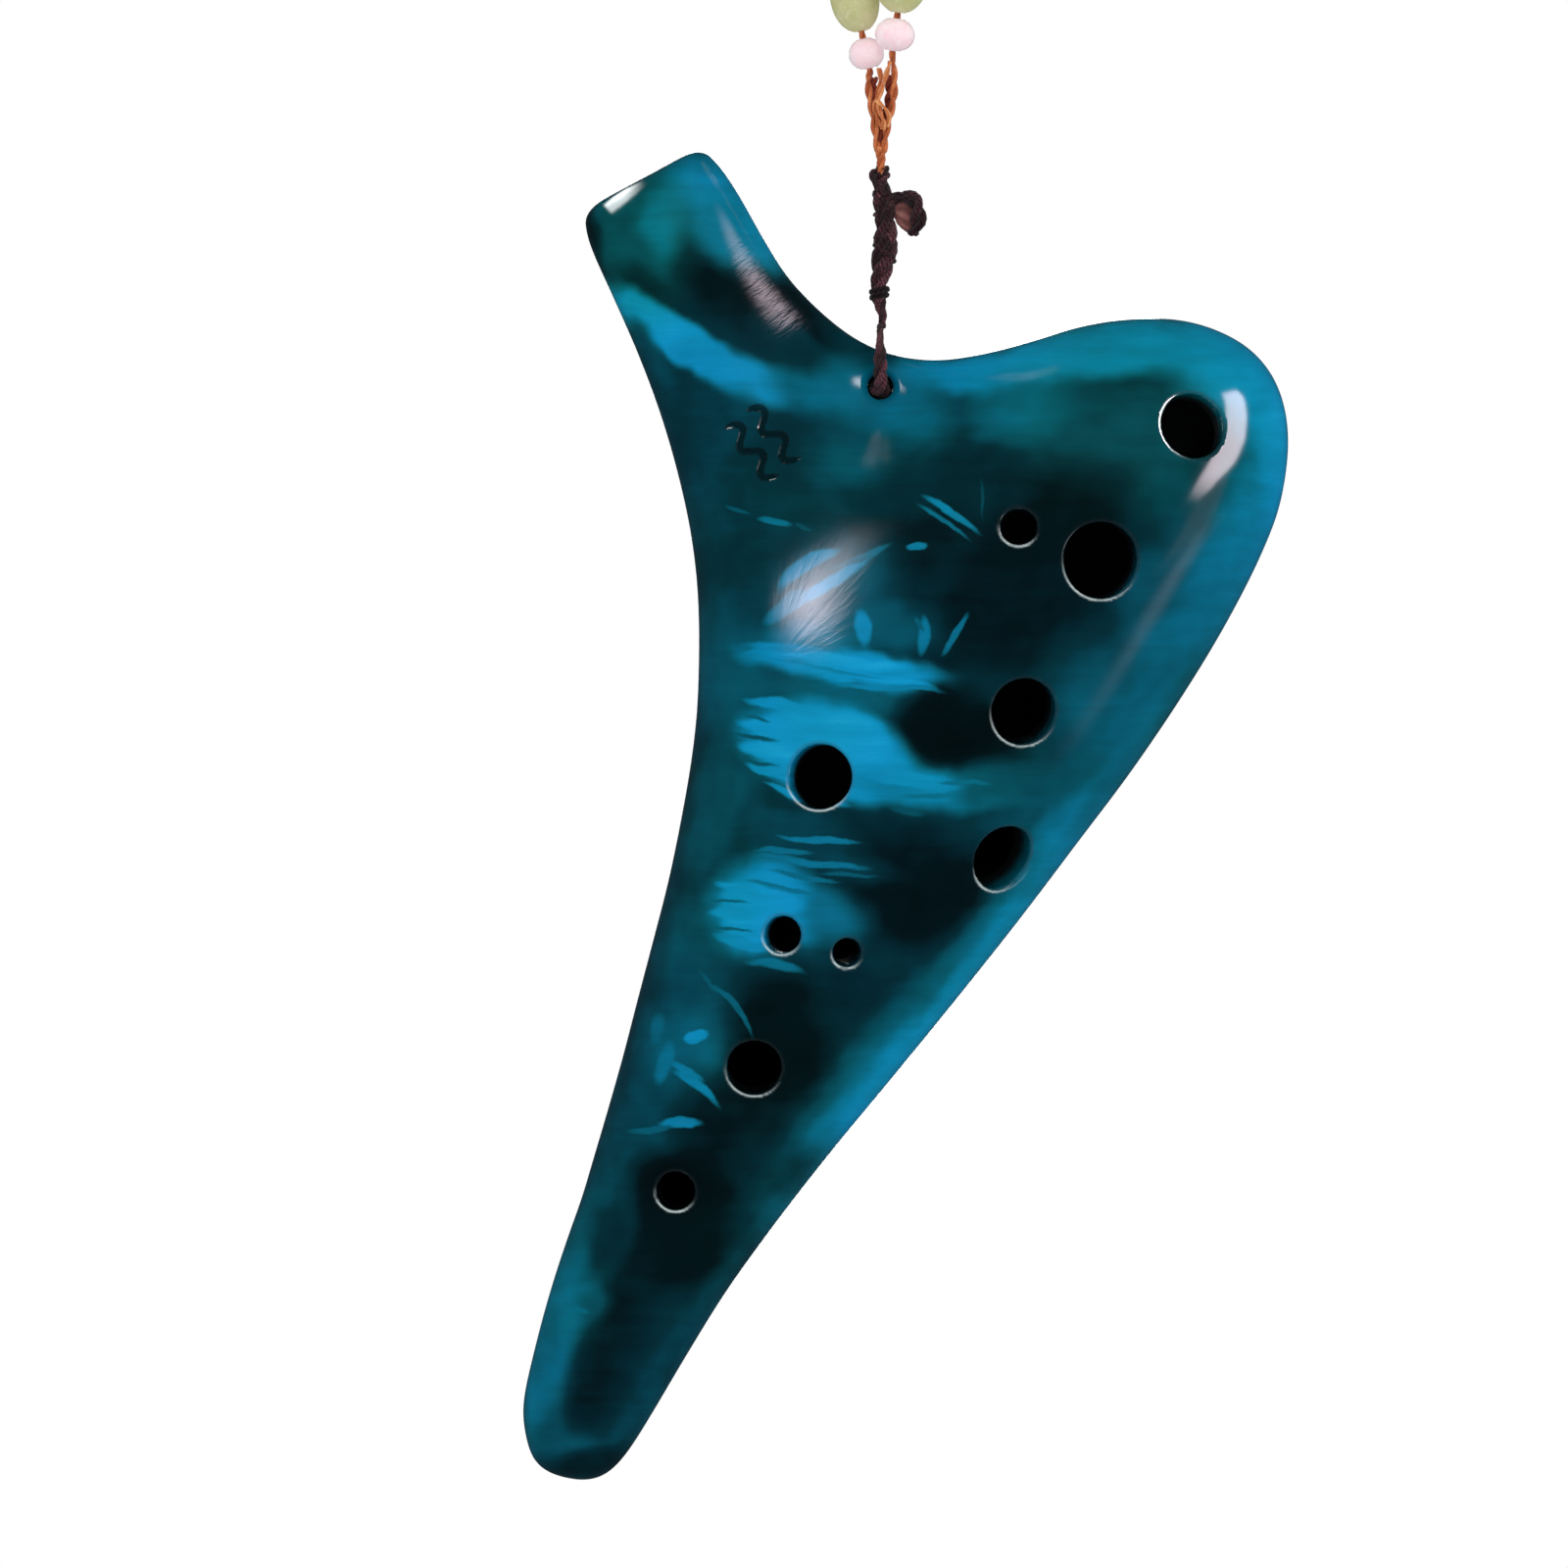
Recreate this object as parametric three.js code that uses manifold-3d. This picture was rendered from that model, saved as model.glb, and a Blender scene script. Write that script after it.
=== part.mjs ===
// Twelve-hole ceramic ocarina with a tied lanyard, its strap cords and beads.
// Millimetres, +Z up.  The ocarina hangs tail down; its ten-hole face looks
// towards -Y (front) and its thumb holes and window towards +Y (back).  Left is
// -X.  The origin is the bottom centre of the object's box, and Y = 0 is the
// parting plane of the two pressed ceramic halves.
import * as THREE from "three";
import { mergeVertices } from "three/addons/utils/BufferGeometryUtils.js";
import Module from "manifold-3d";

const manifold = await Module();
manifold.setup();

// ---------------------------------------------------------------- dimensions
const PART_GAP = 0.3; // clearance between neighbouring pieces
const WALL = 4.5; // ceramic wall of the chamber, seen from the front

// Meshing of the two lens-like solids: corners of the outline, offsets of the
// rings inside it, and pitch of the grid inside the rings.
const SKIN_MESH = { corners: 118, ringOffsets: [0.5, 1.7, 3.9], pitch: 5.6 };
const CAVITY_MESH = { corners: 78, ringOffsets: [1.2, 4.4], pitch: 8 };

const MOUTH_TIP = [-36.3, 178.2]; // middle of the mouthpiece's end, x and z
const MOUTH_AXIS = [0.4774, -0.8787]; // from the tip into the body, x and z
const MOUTH_FLAT = -0.9; // where the end is cut flat, along the axis from the tip

// Lengths along the windway are measured from the lips.
const WINDWAY_LENGTH = 40;
const WINDWAY_WIDTH = 10.4;
const WINDWAY_IN = 2.3; // airway height at the lips
const WINDWAY_OUT = 1.3; // airway height at the window
const WINDWAY_SLOPE = 9.6; // degrees towards the back
const WINDWAY_Y = 1.6; // middle of the airway at the lips
const AIRWAY_START = -6; // the cut starts outside the lips
const AIRWAY_END = WINDWAY_LENGTH + 1.2; // and runs on into the chamber

const FLOOR_START = 8;
const FLOOR_WIDTH = WINDWAY_WIDTH + 1.6;
const FLOOR_DEPTH = 3.2;

const WINDOW_LENGTH = 5.6;
const WINDOW_OVERLAP = 0.1; // the window cut starts this far before the windway's end
const WINDOW_HEIGHTS = [-1.6, 14]; // span of the window cut, from the airway's middle

const LABIUM_START = WINDWAY_LENGTH + WINDOW_LENGTH;
const LABIUM_END = LABIUM_START + 7;
const LABIUM_LOW = [-0.2, -1.3]; // underside at its start and end
const LABIUM_EDGE = 0.2; // top at its start
const LABIUM_INSET = 0.5; // its end lies this far under the skin

const LANYARD_HOLE = [-3.5, 150.5]; // x and z
const LANYARD_BORE = 3.5;
const LANYARD_BOSS = { radius: 7.6, drop: 0.5 }; // solid ground, centred below the hole

// Finger holes: x, z, diameter, depth of the drill under the skin.
// The last two are the small sub holes.
const FRONT_HOLES = [
  [39.3, 145.0, 9.0, 12],
  [26.6, 126.4, 10.3, 12],
  [16.1, 105.7, 9.0, 12],
  [13.4, 85.6, 9.2, 12],
  [-11.9, 96.9, 8.8, 12],
  [-17.0, 75.3, 5.0, 12],
  [-20.8, 57.0, 7.3, 12],
  [-31.6, 40.1, 5.1, 9],
  [15.3, 131.0, 4.9, 12],
  [-8.1, 72.8, 3.8, 12],
];
const THUMB_HOLES = [
  [12, 143, 9.6, 13],
  [-13.5, 84.5, 9.2, 13],
];

// Outline of the body from the front, x and z, from the tail up its left side and round.
const OUTLINE = [
  [-49.4, 1.2], [-51.2, 2.8], [-52.2, 5.7], [-52.7, 9.2], [-52.4, 12.2], [-51.7, 15.5],
  [-49.8, 23.0], [-48.2, 28.4], [-46.4, 33.8], [-44.6, 38.9], [-42.9, 44.6], [-41.3, 50.0],
  [-39.0, 58.1], [-36.9, 66.2], [-34.8, 74.2], [-32.7, 82.4], [-30.9, 91.1], [-29.6, 98.6],
  [-28.8, 105.3], [-28.5, 112.1], [-28.5, 118.8], [-28.8, 124.2], [-29.7, 131.0],
  [-31.5, 139.1], [-33.9, 147.2], [-36.9, 155.2], [-40.5, 163.4], [-42.8, 168.5],
  [-43.9, 171.7], [-44.0, 175.1], [-42.5, 177.4], [-39.4, 179.3], [-36.1, 181.0],
  [-32.9, 182.7], [-30.7, 183.7], [-29.0, 183.8], [-26.6, 182.0], [-24.7, 179.7],
  [-22.5, 176.2], [-19.7, 171.2], [-16.5, 166.1], [-13.9, 163.1], [-11.1, 160.4],
  [-7.8, 157.8], [-4.9, 156.2], [-1.6, 155.0], [1.6, 154.4], [4.9, 154.3], [8.9, 154.8],
  [13.5, 155.8], [18.4, 157.2], [23.2, 158.7], [28.4, 159.7], [33.5, 160.0], [38.6, 159.6],
  [43.2, 158.2], [47.2, 155.9], [50.2, 152.6], [52.0, 148.5], [52.7, 143.8], [52.4, 138.8],
  [51.3, 133.4], [49.4, 128.4], [46.8, 122.9], [42.7, 115.4], [37.3, 106.7], [30.8, 97.2],
  [23.8, 87.9], [15.7, 77.2], [7.0, 66.2], [-1.8, 55.4], [-10.7, 44.6], [-18.1, 35.1],
  [-24.8, 25.8], [-30.2, 17.1], [-34.7, 9.5], [-37.3, 5.3], [-39.3, 2.6], [-41.3, 0.8],
  [-43.7, 0.0], [-46.7, 0.3],
];

// How full the section is in each region, and the spans over which they blend.
const FULLNESS = { upper: 5.55, lower: 5.95, tail: 4.15, mouth: 3.55 };
const LOWER_SPAN = [60, 110]; // z
const TAIL_SPAN = [0, 78]; // z
const MOUTH_SPAN = [6, 62]; // along the mouth axis
const PINCH = { share: 0.68, radius: 12 }; // thinning round the lanyard hole
// The cavity's share of the fullness grows from the tail up.
const CAVITY_SHARE = { tail: 0.74, body: 0.87, span: [0, 90] };

// ---------------------------------------------------------------- plane geometry
const mix = (start, end, t) => start + (end - start) * t;
function smooth(start, end, value) {
  const t = Math.min(1, Math.max(0, (value - start) / (end - start)));
  return t * t * (3 - 2 * t);
}

const curveThrough = (points, closed) =>
  new THREE.CatmullRomCurve3(
    points.map((point) => new THREE.Vector3(...point)),
    closed,
    "centripetal",
  );

// Evenly spaced points on a closed curve through the given ones.
function closedOutline(points, count) {
  const curve = curveThrough(points.map(([x, z]) => [x, z, 0]), true);
  curve.arcLengthDivisions = 1600;
  return curve.getSpacedPoints(count).slice(0, count).map((point) => [point.x, point.y]);
}

// Corner i moved square to the line between its neighbours; inwards is positive.
function offsetCorner(outline, i, distance) {
  const count = outline.length;
  const [x, z] = outline[i];
  const [lastX, lastZ] = outline[(i + count - 1) % count];
  const [nextX, nextZ] = outline[(i + 1) % count];
  const length = Math.hypot(nextX - lastX, nextZ - lastZ);
  return [
    x + (distance * (nextZ - lastZ)) / length,
    z - (distance * (nextX - lastX)) / length,
  ];
}

function inside(polygon, x, z) {
  let odd = false;
  polygon.forEach(([endX, endZ], i) => {
    const [startX, startZ] = polygon[(i + polygon.length - 1) % polygon.length];
    if (endZ > z === startZ > z) return;
    if (x < ((startX - endX) * (z - endZ)) / (startZ - endZ) + endX) odd = !odd;
  });
  return odd;
}

function distanceTo(polygon, x, z) {
  let best = 1e9;
  polygon.forEach(([startX, startZ], i) => {
    const [endX, endZ] = polygon[(i + 1) % polygon.length];
    const sideX = endX - startX;
    const sideZ = endZ - startZ;
    const share =
      ((x - startX) * sideX + (z - startZ) * sideZ) / (sideX * sideX + sideZ * sideZ);
    const t = Math.min(1, Math.max(0, share));
    best = Math.min(best, Math.hypot(x - startX - t * sideX, z - startZ - t * sideZ));
  });
  return best;
}

const within = (polygon, x, z, margin) =>
  inside(polygon, x, z) && distanceTo(polygon, x, z) > margin;

// Delaunay triangles over points in the plane (Bowyer and Watson).
function triangulate(points) {
  const jitter = 2e-4; // breaks ties between points on one circle
  const count = points.length;
  const far = 5000;
  const sites = points.map(([x, z], i) => [
    x + jitter * Math.sin(12.9 * i),
    z + jitter * Math.cos(78.2 * i),
  ]);
  sites.push([-far, -far], [far, -far], [0, far]);

  // A triangle with its circumcircle, worked out from corner a.
  function triangle(a, b, c) {
    const [originX, originZ] = sites[a];
    const bx = sites[b][0] - originX;
    const bz = sites[b][1] - originZ;
    const cx = sites[c][0] - originX;
    const cz = sites[c][1] - originZ;
    const divisor = 2 * (bx * cz - bz * cx);
    const bSquared = bx * bx + bz * bz;
    const cSquared = cx * cx + cz * cz;
    const x = (cz * bSquared - bz * cSquared) / divisor;
    const z = (bx * cSquared - cx * bSquared) / divisor;
    return { corners: [a, b, c], x: originX + x, z: originZ + z, radiusSquared: x * x + z * z };
  }

  let triangles = [triangle(count, count + 1, count + 2)];
  for (let i = 0; i < count; i++) {
    const [x, z] = sites[i];
    const rim = new Map(); // edges of the hole left by the triangles taken out
    const kept = [];
    for (const old of triangles) {
      if ((x - old.x) ** 2 + (z - old.z) ** 2 > old.radiusSquared) {
        kept.push(old);
        continue;
      }
      const [a, b, c] = old.corners;
      for (const [from, to] of [[a, b], [b, c], [c, a]])
        if (!rim.delete(`${to},${from}`)) rim.set(`${from},${to}`, [from, to]);
    }
    triangles = kept;
    for (const [from, to] of rim.values()) triangles.push(triangle(from, to, i));
  }
  return triangles
    .map(({ corners }) => corners)
    .filter((corners) => corners.every((corner) => corner < count));
}

// ---------------------------------------------------------------- body surface
const SECTION_OUTLINE = closedOutline(OUTLINE, 260);

// Pi over the sum, for a polygon's sides, of the angle a side subtends over its
// distance.  It falls to zero at the outline as the distance does, and its square
// root gives an elliptic section across a strip and across a disc.
function sectionFill(polygon, x, z) {
  let total = 0;
  polygon.forEach(([startX, startZ], i) => {
    const [endX, endZ] = polygon[(i + 1) % polygon.length];
    const toStartX = startX - x;
    const toStartZ = startZ - z;
    const toEndX = endX - x;
    const toEndZ = endZ - z;
    const cross = toStartX * toEndZ - toStartZ * toEndX;
    const distance = Math.abs(cross) / Math.hypot(endX - startX, endZ - startZ);
    if (distance > 1e-4) {
      const angle = Math.atan2(cross, toStartX * toEndX + toStartZ * toEndZ);
      total += Math.abs(angle) / distance;
    } else {
      // The point is in line with the side: take the limit.
      const startLength = Math.max(1e-9, Math.hypot(toStartX, toStartZ));
      const endLength = Math.max(1e-9, Math.hypot(toEndX, toEndZ));
      total += Math.abs(1 / startLength - 1 / endLength);
    }
  });
  return Math.PI / total;
}

function fullness(x, z) {
  const fromTip = (x - MOUTH_TIP[0]) * MOUTH_AXIS[0] + (z - MOUTH_TIP[1]) * MOUTH_AXIS[1];
  let full = mix(FULLNESS.upper, FULLNESS.lower, 1 - smooth(...LOWER_SPAN, z));
  full = mix(full, FULLNESS.tail, 1 - smooth(...TAIL_SPAN, z));
  full = mix(full, FULLNESS.mouth, 1 - smooth(...MOUTH_SPAN, fromTip));
  const fromHole = Math.hypot(x - LANYARD_HOLE[0], z - LANYARD_HOLE[1]);
  return full * (1 - PINCH.share * Math.exp(-((fromHole / PINCH.radius) ** 2)));
}

const halfDepth = (x, z) => fullness(x, z) * Math.sqrt(sectionFill(SECTION_OUTLINE, x, z));

// Outward normal of the skin; side is -1 for the front and 1 for the back.
function normalAt(x, z, side) {
  const step = 0.05;
  const squared = (atX, atZ) => halfDepth(atX, atZ) ** 2;
  return new THREE.Vector3(
    -(squared(x + step, z) - squared(x - step, z)) / (2 * step),
    side * 2 * halfDepth(x, z),
    -(squared(x, z + step) - squared(x, z - step)) / (2 * step),
  ).normalize();
}

// ---------------------------------------------------------------- solids
function solid(geometry) {
  const bare = geometry.clone();
  for (const name of Object.keys(bare.attributes))
    if (name !== "position") bare.deleteAttribute(name);
  const merged = mergeVertices(bare, 1e-4);
  return new manifold.Manifold(
    new manifold.Mesh({
      numProp: 3,
      vertProperties: new Float32Array(merged.attributes.position.array),
      triVerts: new Uint32Array(merged.index.array),
    }),
  );
}

function geometryOf(made) {
  const mesh = made.getMesh();
  const stride = mesh.numProp;
  const vertices = new Float32Array(mesh.numVert * 3);
  for (let i = 0; i < mesh.numVert; i++)
    vertices.set(mesh.vertProperties.subarray(i * stride, i * stride + 3), i * 3);
  return new THREE.BufferGeometry()
    .setAttribute("position", new THREE.BufferAttribute(vertices, 3))
    .setIndex(new THREE.BufferAttribute(mesh.triVerts, 1));
}

const meshFrom = (vertices, faces) =>
  new THREE.BufferGeometry()
    .setAttribute("position", new THREE.BufferAttribute(new Float32Array(vertices), 3))
    .setIndex(faces);

// Mesh points of a lens-like solid: its outline, offset rings, then an even grid.
function planPoints(outline, { ringOffsets, pitch }) {
  const plan = outline.slice();
  for (const offset of ringOffsets) {
    const spacing = 0.5 * Math.min(offset, 2.5);
    const clear = (x, z) =>
      plan.slice(outline.length).every(([u, v]) => Math.hypot(u - x, v - z) > spacing);
    for (let i = 0; i < outline.length; i++)
      for (const side of [1, -1]) {
        const [x, z] = offsetCorner(outline, i, side * offset);
        if (within(outline, x, z, offset * 0.93) && clear(x, z)) plan.push([x, z]);
      }
  }
  const margin = ringOffsets.at(-1) + pitch * 0.62;
  for (let row = 0, z = -10; z < 200; z += pitch * 0.866, row++)
    for (let x = -70 + (row % 2) * pitch * 0.5; x < 70; x += pitch)
      if (within(outline, x, z, margin)) plan.push([x, z]);
  return plan;
}

// A closed lens-like solid whose two faces meet at the outline.
function lens(outline, meshing, depth) {
  const plan = planPoints(outline, meshing);
  const onRim = (i) => i < outline.length;
  const vertices = [];
  for (const side of [-1, 1])
    plan.forEach(([x, z], i) => vertices.push(x, onRim(i) ? 0 : side * depth(x, z), z));

  const faces = [];
  const backOf = (i) => (onRim(i) ? i : i + plan.length);
  for (const [a, b, c] of triangulate(plan)) {
    const [ax, az] = plan[a];
    const [bx, bz] = plan[b];
    const [cx, cz] = plan[c];
    if (!inside(outline, (ax + bx + cx) / 3, (az + bz + cz) / 3)) continue;
    const area = (bx - ax) * (cz - az) - (bz - az) * (cx - ax);
    const front = area > 0 ? [a, b, c] : [a, c, b];
    faces.push(...front, backOf(front[0]), backOf(front[2]), backOf(front[1]));
  }
  return solid(meshFrom(vertices, faces));
}

// A box [x, y, z] in size, centred at a point, with its sides along the directions.
const block = (size, centre, directions) =>
  new THREE.BoxGeometry(...size).applyMatrix4(
    new THREE.Matrix4().makeBasis(...directions).setPosition(centre),
  );

function rod(from, to, radius, sides) {
  const span = to.clone().sub(from);
  return new THREE.CylinderGeometry(radius, radius, span.length(), sides).applyMatrix4(
    new THREE.Matrix4().compose(
      from.clone().add(to).multiplyScalar(0.5),
      new THREE.Quaternion().setFromUnitVectors(new THREE.Vector3(0, 1, 0), span.normalize()),
      new THREE.Vector3(1, 1, 1),
    ),
  );
}

// A rod from front to back through (x, z).
const crossRod = (x, z, reach, radius, sides) =>
  solid(rod(new THREE.Vector3(x, -reach, z), new THREE.Vector3(x, reach, z), radius, sides));

// An open-ended path swept with a round section.
function cord(points, radius, steps, sides) {
  const section = new THREE.Shape();
  for (let i = 0; i < sides; i++) {
    const angle = (i / sides) * Math.PI * 2;
    section[i ? "lineTo" : "moveTo"](radius * Math.cos(angle), radius * Math.sin(angle));
  }
  section.closePath();
  return new THREE.ExtrudeGeometry(section, {
    steps,
    bevelEnabled: false,
    extrudePath: curveThrough(points, false),
  });
}

// A ring of cord along a closed path.
function closedCord(points, radius, steps, sides) {
  const curve = curveThrough(points, true);
  const { normals, binormals } = curve.computeFrenetFrames(steps, true);
  const vertices = [];
  const faces = [];
  for (let i = 0; i < steps; i++) {
    const centre = curve.getPointAt(i / steps);
    const next = (i + 1) % steps;
    for (let j = 0; j < sides; j++) {
      const angle = (j / sides) * Math.PI * 2;
      const point = centre
        .clone()
        .addScaledVector(normals[i], radius * Math.cos(angle))
        .addScaledVector(binormals[i], radius * Math.sin(angle));
      vertices.push(point.x, point.y, point.z);

      const nextSide = (j + 1) % sides;
      const corner = i * sides + j;
      const opposite = next * sides + nextSide;
      faces.push(corner, i * sides + nextSide, opposite);
      faces.push(corner, opposite, next * sides + j);
    }
  }
  return meshFrom(vertices, faces);
}

// A turned solid about Z, or about an axis, through a point: profile of [radius, height].
function turned(profile, segments, [x, y, z], axis = null) {
  const points = profile.map((point) => new THREE.Vector2(...point));
  const geometry = new THREE.LatheGeometry(points, segments);
  geometry.rotateX(Math.PI / 2);
  if (axis)
    geometry.applyQuaternion(
      new THREE.Quaternion().setFromUnitVectors(new THREE.Vector3(0, 0, 1), axis),
    );
  return geometry.translate(x, y, z);
}

// ---------------------------------------------------------------- windway frame
const inward = new THREE.Vector3(MOUTH_AXIS[0], 0, MOUTH_AXIS[1]);
const across = new THREE.Vector3(-MOUTH_AXIS[1], 0, MOUTH_AXIS[0]);
const backward = new THREE.Vector3(0, 1, 0);
const tip = new THREE.Vector3(MOUTH_TIP[0], 0, MOUTH_TIP[1]);

const slope = THREE.MathUtils.degToRad(WINDWAY_SLOPE);
const along = inward
  .clone()
  .multiplyScalar(Math.cos(slope))
  .addScaledVector(backward, Math.sin(slope));
const height = backward
  .clone()
  .multiplyScalar(Math.cos(slope))
  .addScaledVector(inward, -Math.sin(slope));
const lips = tip.clone().addScaledVector(backward, WINDWAY_Y);

const airAt = (distance, aside, rise) =>
  lips
    .clone()
    .addScaledVector(along, distance)
    .addScaledVector(across, aside)
    .addScaledVector(height, rise);

// Half the airway's height at a distance from the lips.
const halfAirway = (distance) =>
  mix(WINDWAY_IN, WINDWAY_OUT, distance / WINDWAY_LENGTH) / 2;

// A block along the windway; low and high are its faces' heights at its start and end.
function airWedge({ start, end, width, low, high }) {
  const geometry = new THREE.BoxGeometry(1, 1, 1);
  const { position } = geometry.attributes;
  for (let i = 0; i < position.count; i++) {
    const atEnd = position.getY(i) > 0;
    const rise = (position.getZ(i) > 0 ? high : low)[atEnd ? 1 : 0];
    const point = airAt(atEnd ? end : start, position.getX(i) * width, rise);
    position.setXYZ(i, point.x, point.y, point.z);
  }
  return geometry;
}

// Height of the back skin over the airway's middle line, by repeated correction.
function skinHeight(distance) {
  let rise = 3;
  for (let i = 0; i < 30; i++) {
    const point = airAt(distance, 0, rise);
    rise += (halfDepth(point.x, point.z) - point.y) * 0.8;
  }
  return rise;
}

// A block that fills the mouthpiece's side of a plane square to the mouth axis.
function mouthSideBlock(plane, width, length) {
  const centre = tip.clone().addScaledVector(inward, plane - length / 2);
  return solid(block([width, length, width], centre, [across, inward, backward]));
}

// ---------------------------------------------------------------- ceramic body
function makeCavity() {
  const base = closedOutline(OUTLINE, 200);
  const inset = base
    .map((corner, i) => offsetCorner(base, i, WALL))
    .filter(([x, z]) => within(SECTION_OUTLINE, x, z, WALL * 0.985));
  const outline = closedOutline(inset, CAVITY_MESH.corners);
  const { tail, body, span } = CAVITY_SHARE;
  const depth = (x, z) =>
    fullness(x, z) * mix(tail, body, smooth(...span, z)) * Math.sqrt(sectionFill(outline, x, z));
  const [holeX, holeZ] = LANYARD_HOLE;
  return lens(outline, CAVITY_MESH, depth)
    // The mouthpiece is solid as far as the windway's end.
    .subtract(mouthSideBlock(WINDWAY_LENGTH, 120, 80))
    .subtract(crossRod(holeX, holeZ - LANYARD_BOSS.drop, 60, LANYARD_BOSS.radius, 20));
}

const airwayCut = () =>
  solid(airWedge({
    start: AIRWAY_START,
    end: AIRWAY_END,
    width: WINDWAY_WIDTH,
    low: [-halfAirway(0), -halfAirway(AIRWAY_END)],
    high: [halfAirway(0), halfAirway(AIRWAY_END)],
  }));

// The pocket under the airway that holds the floor block.
function floorPocket() {
  const tops = [-halfAirway(FLOOR_START), -halfAirway(AIRWAY_END)];
  return solid(airWedge({
    start: FLOOR_START - PART_GAP,
    end: AIRWAY_END,
    width: FLOOR_WIDTH + 2 * PART_GAP,
    low: tops.map((top) => top - FLOOR_DEPTH - PART_GAP),
    high: tops.map((top) => top + PART_GAP),
  }));
}

// Window through the back wall, and beyond it the seat of the labium.
function windowCut() {
  const start = WINDWAY_LENGTH - WINDOW_OVERLAP;
  const end = LABIUM_END + PART_GAP;
  const [low, high] = WINDOW_HEIGHTS;
  return solid(block(
    [WINDWAY_WIDTH + 2 * PART_GAP, end - start, high - low],
    airAt((start + end) / 2, 0, (low + high) / 2),
    [across, along, height],
  ));
}

// A finger or thumb hole along the skin's own normal.
function fingerBore([x, z, diameter, depth], side) {
  const normal = normalAt(x, z, side);
  const centre = new THREE.Vector3(x, side * halfDepth(x, z), z);
  const outerEnd = centre.clone().addScaledVector(normal, 6);
  const innerEnd = centre.clone().addScaledVector(normal, -depth);
  return solid(rod(outerEnd, innerEnd, diameter / 2, 20));
}

function makeBody() {
  const skin = lens(closedOutline(OUTLINE, SKIN_MESH.corners), SKIN_MESH, halfDepth);
  const cuts = [
    makeCavity(),
    mouthSideBlock(MOUTH_FLAT, 60, 20),
    airwayCut(),
    floorPocket(),
    windowCut(),
    ...FRONT_HOLES.map((hole) => fingerBore(hole, -1)),
    ...THUMB_HOLES.map((hole) => fingerBore(hole, 1)),
    crossRod(...LANYARD_HOLE, 30, LANYARD_BORE / 2, 16),
  ];
  return cuts.reduce((body, cut) => body.subtract(cut), skin);
}

// The part of the body between two planes square to Y.
function shell(body, fromY, toY) {
  const slab = new THREE.BoxGeometry(300, toY - fromY, 500).translate(0, (fromY + toY) / 2, 0);
  return geometryOf(body.intersect(solid(slab)));
}

// ---------------------------------------------------------------- voicing pieces
function makeWindwayFloor() {
  const tops = [-halfAirway(FLOOR_START), -halfAirway(WINDWAY_LENGTH)];
  return airWedge({
    start: FLOOR_START,
    end: WINDWAY_LENGTH,
    width: FLOOR_WIDTH,
    low: tops.map((top) => top - FLOOR_DEPTH),
    high: tops,
  });
}

const makeLabium = () =>
  airWedge({
    start: LABIUM_START,
    end: LABIUM_END,
    width: WINDWAY_WIDTH,
    low: LABIUM_LOW,
    high: [LABIUM_EDGE, skinHeight(LABIUM_END) - LABIUM_INSET],
  });

// ---------------------------------------------------------------- tie cord
// A cord tied in a ring through the lanyard hole, then twisted, wrapped and
// knotted to a bow above it.  Each knotted part is its own solid.
const EYE_RADIUS = 0.92;
const BOW_RADIUS = 0.78;
const EYE_BOTTOM = -0.15; // heights above the lanyard hole's middle
const EYE_TOP = 8.4;
// One side of the ring, going up: y, height above the lanyard hole's middle.
const EYE_SIDE = [[2.4, -0.12], [3.9, 0.5], [4.75, 2.2], [4.85, 4.2], [4.3, 6.2], [2.6, 7.8]];
const TIE_BASE_Z = 160.95; // foot of the tie, straight above the lanyard hole

// Profiles: radius, height.
const SHANK_PROFILE = [
  [0, -0.7], [0.42, -0.56], [0.68, -0.1], [0.62, 0.6], [0.66, 1.5], [0.92, 2.6],
  [1.05, 3.4], [0.6, 3.75], [0, 3.85],
];
const WRAP_LOWER_PROFILE = [
  [0, 0], [0.9, 0], [1.3, 0.5], [1.2, 1.1], [1.5, 1.7], [1.38, 2.4], [1.68, 3.1],
  [1.5, 3.8], [1.62, 4.5], [1.2, 5.1], [0, 5.2],
];
const WRAP_UPPER_PROFILE = [
  [0, 0], [1.15, 0], [1.45, 0.5], [1.2, 1.2], [1.42, 1.9], [1.22, 2.6], [1.3, 3.2],
  [0.9, 3.6], [0, 3.7],
];
const KNOT_PROFILE = [
  [0, -1.75], [0.8, -1.6], [1.45, -1.0], [1.6, -0.2], [1.42, 0.7], [1.0, 1.35], [0, 1.6],
];
const HITCH_LEFT_PROFILE = [[0, -1.15], [0.8, -0.85], [1.12, 0], [0.8, 0.85], [0, 1.15]];
const HITCH_RIGHT_PROFILE = [[0, -1.15], [0.75, -0.85], [1.02, 0], [0.75, 0.85], [0, 1.1]];
// Middle line of the bow: x, y, z.
const BOW_PATH = [
  [-0.88, 0.00, 176.72], [0.14, -0.30, 177.05], [1.22, -0.50, 176.85], [1.96, -0.60, 175.91],
  [2.16, -0.60, 174.56], [2.03, -0.40, 173.07], [1.49, -0.20, 171.72], [0.95, 0.00, 171.05],
];

function makeTieEye() {
  const [holeX, holeZ] = LANYARD_HOLE;
  const path = [
    [0, EYE_BOTTOM],
    ...EYE_SIDE,
    [0, EYE_TOP],
    ...[...EYE_SIDE].reverse().map(([y, rise]) => [-y, rise]),
  ].map(([y, rise]) => [holeX, y, holeZ + rise]);
  return closedCord(path, EYE_RADIUS, 44, 9);
}

// A place to the right of the tie's foot and above it.
const tieAt = (right, rise) => [LANYARD_HOLE[0] + right, 0, TIE_BASE_Z + rise];

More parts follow.
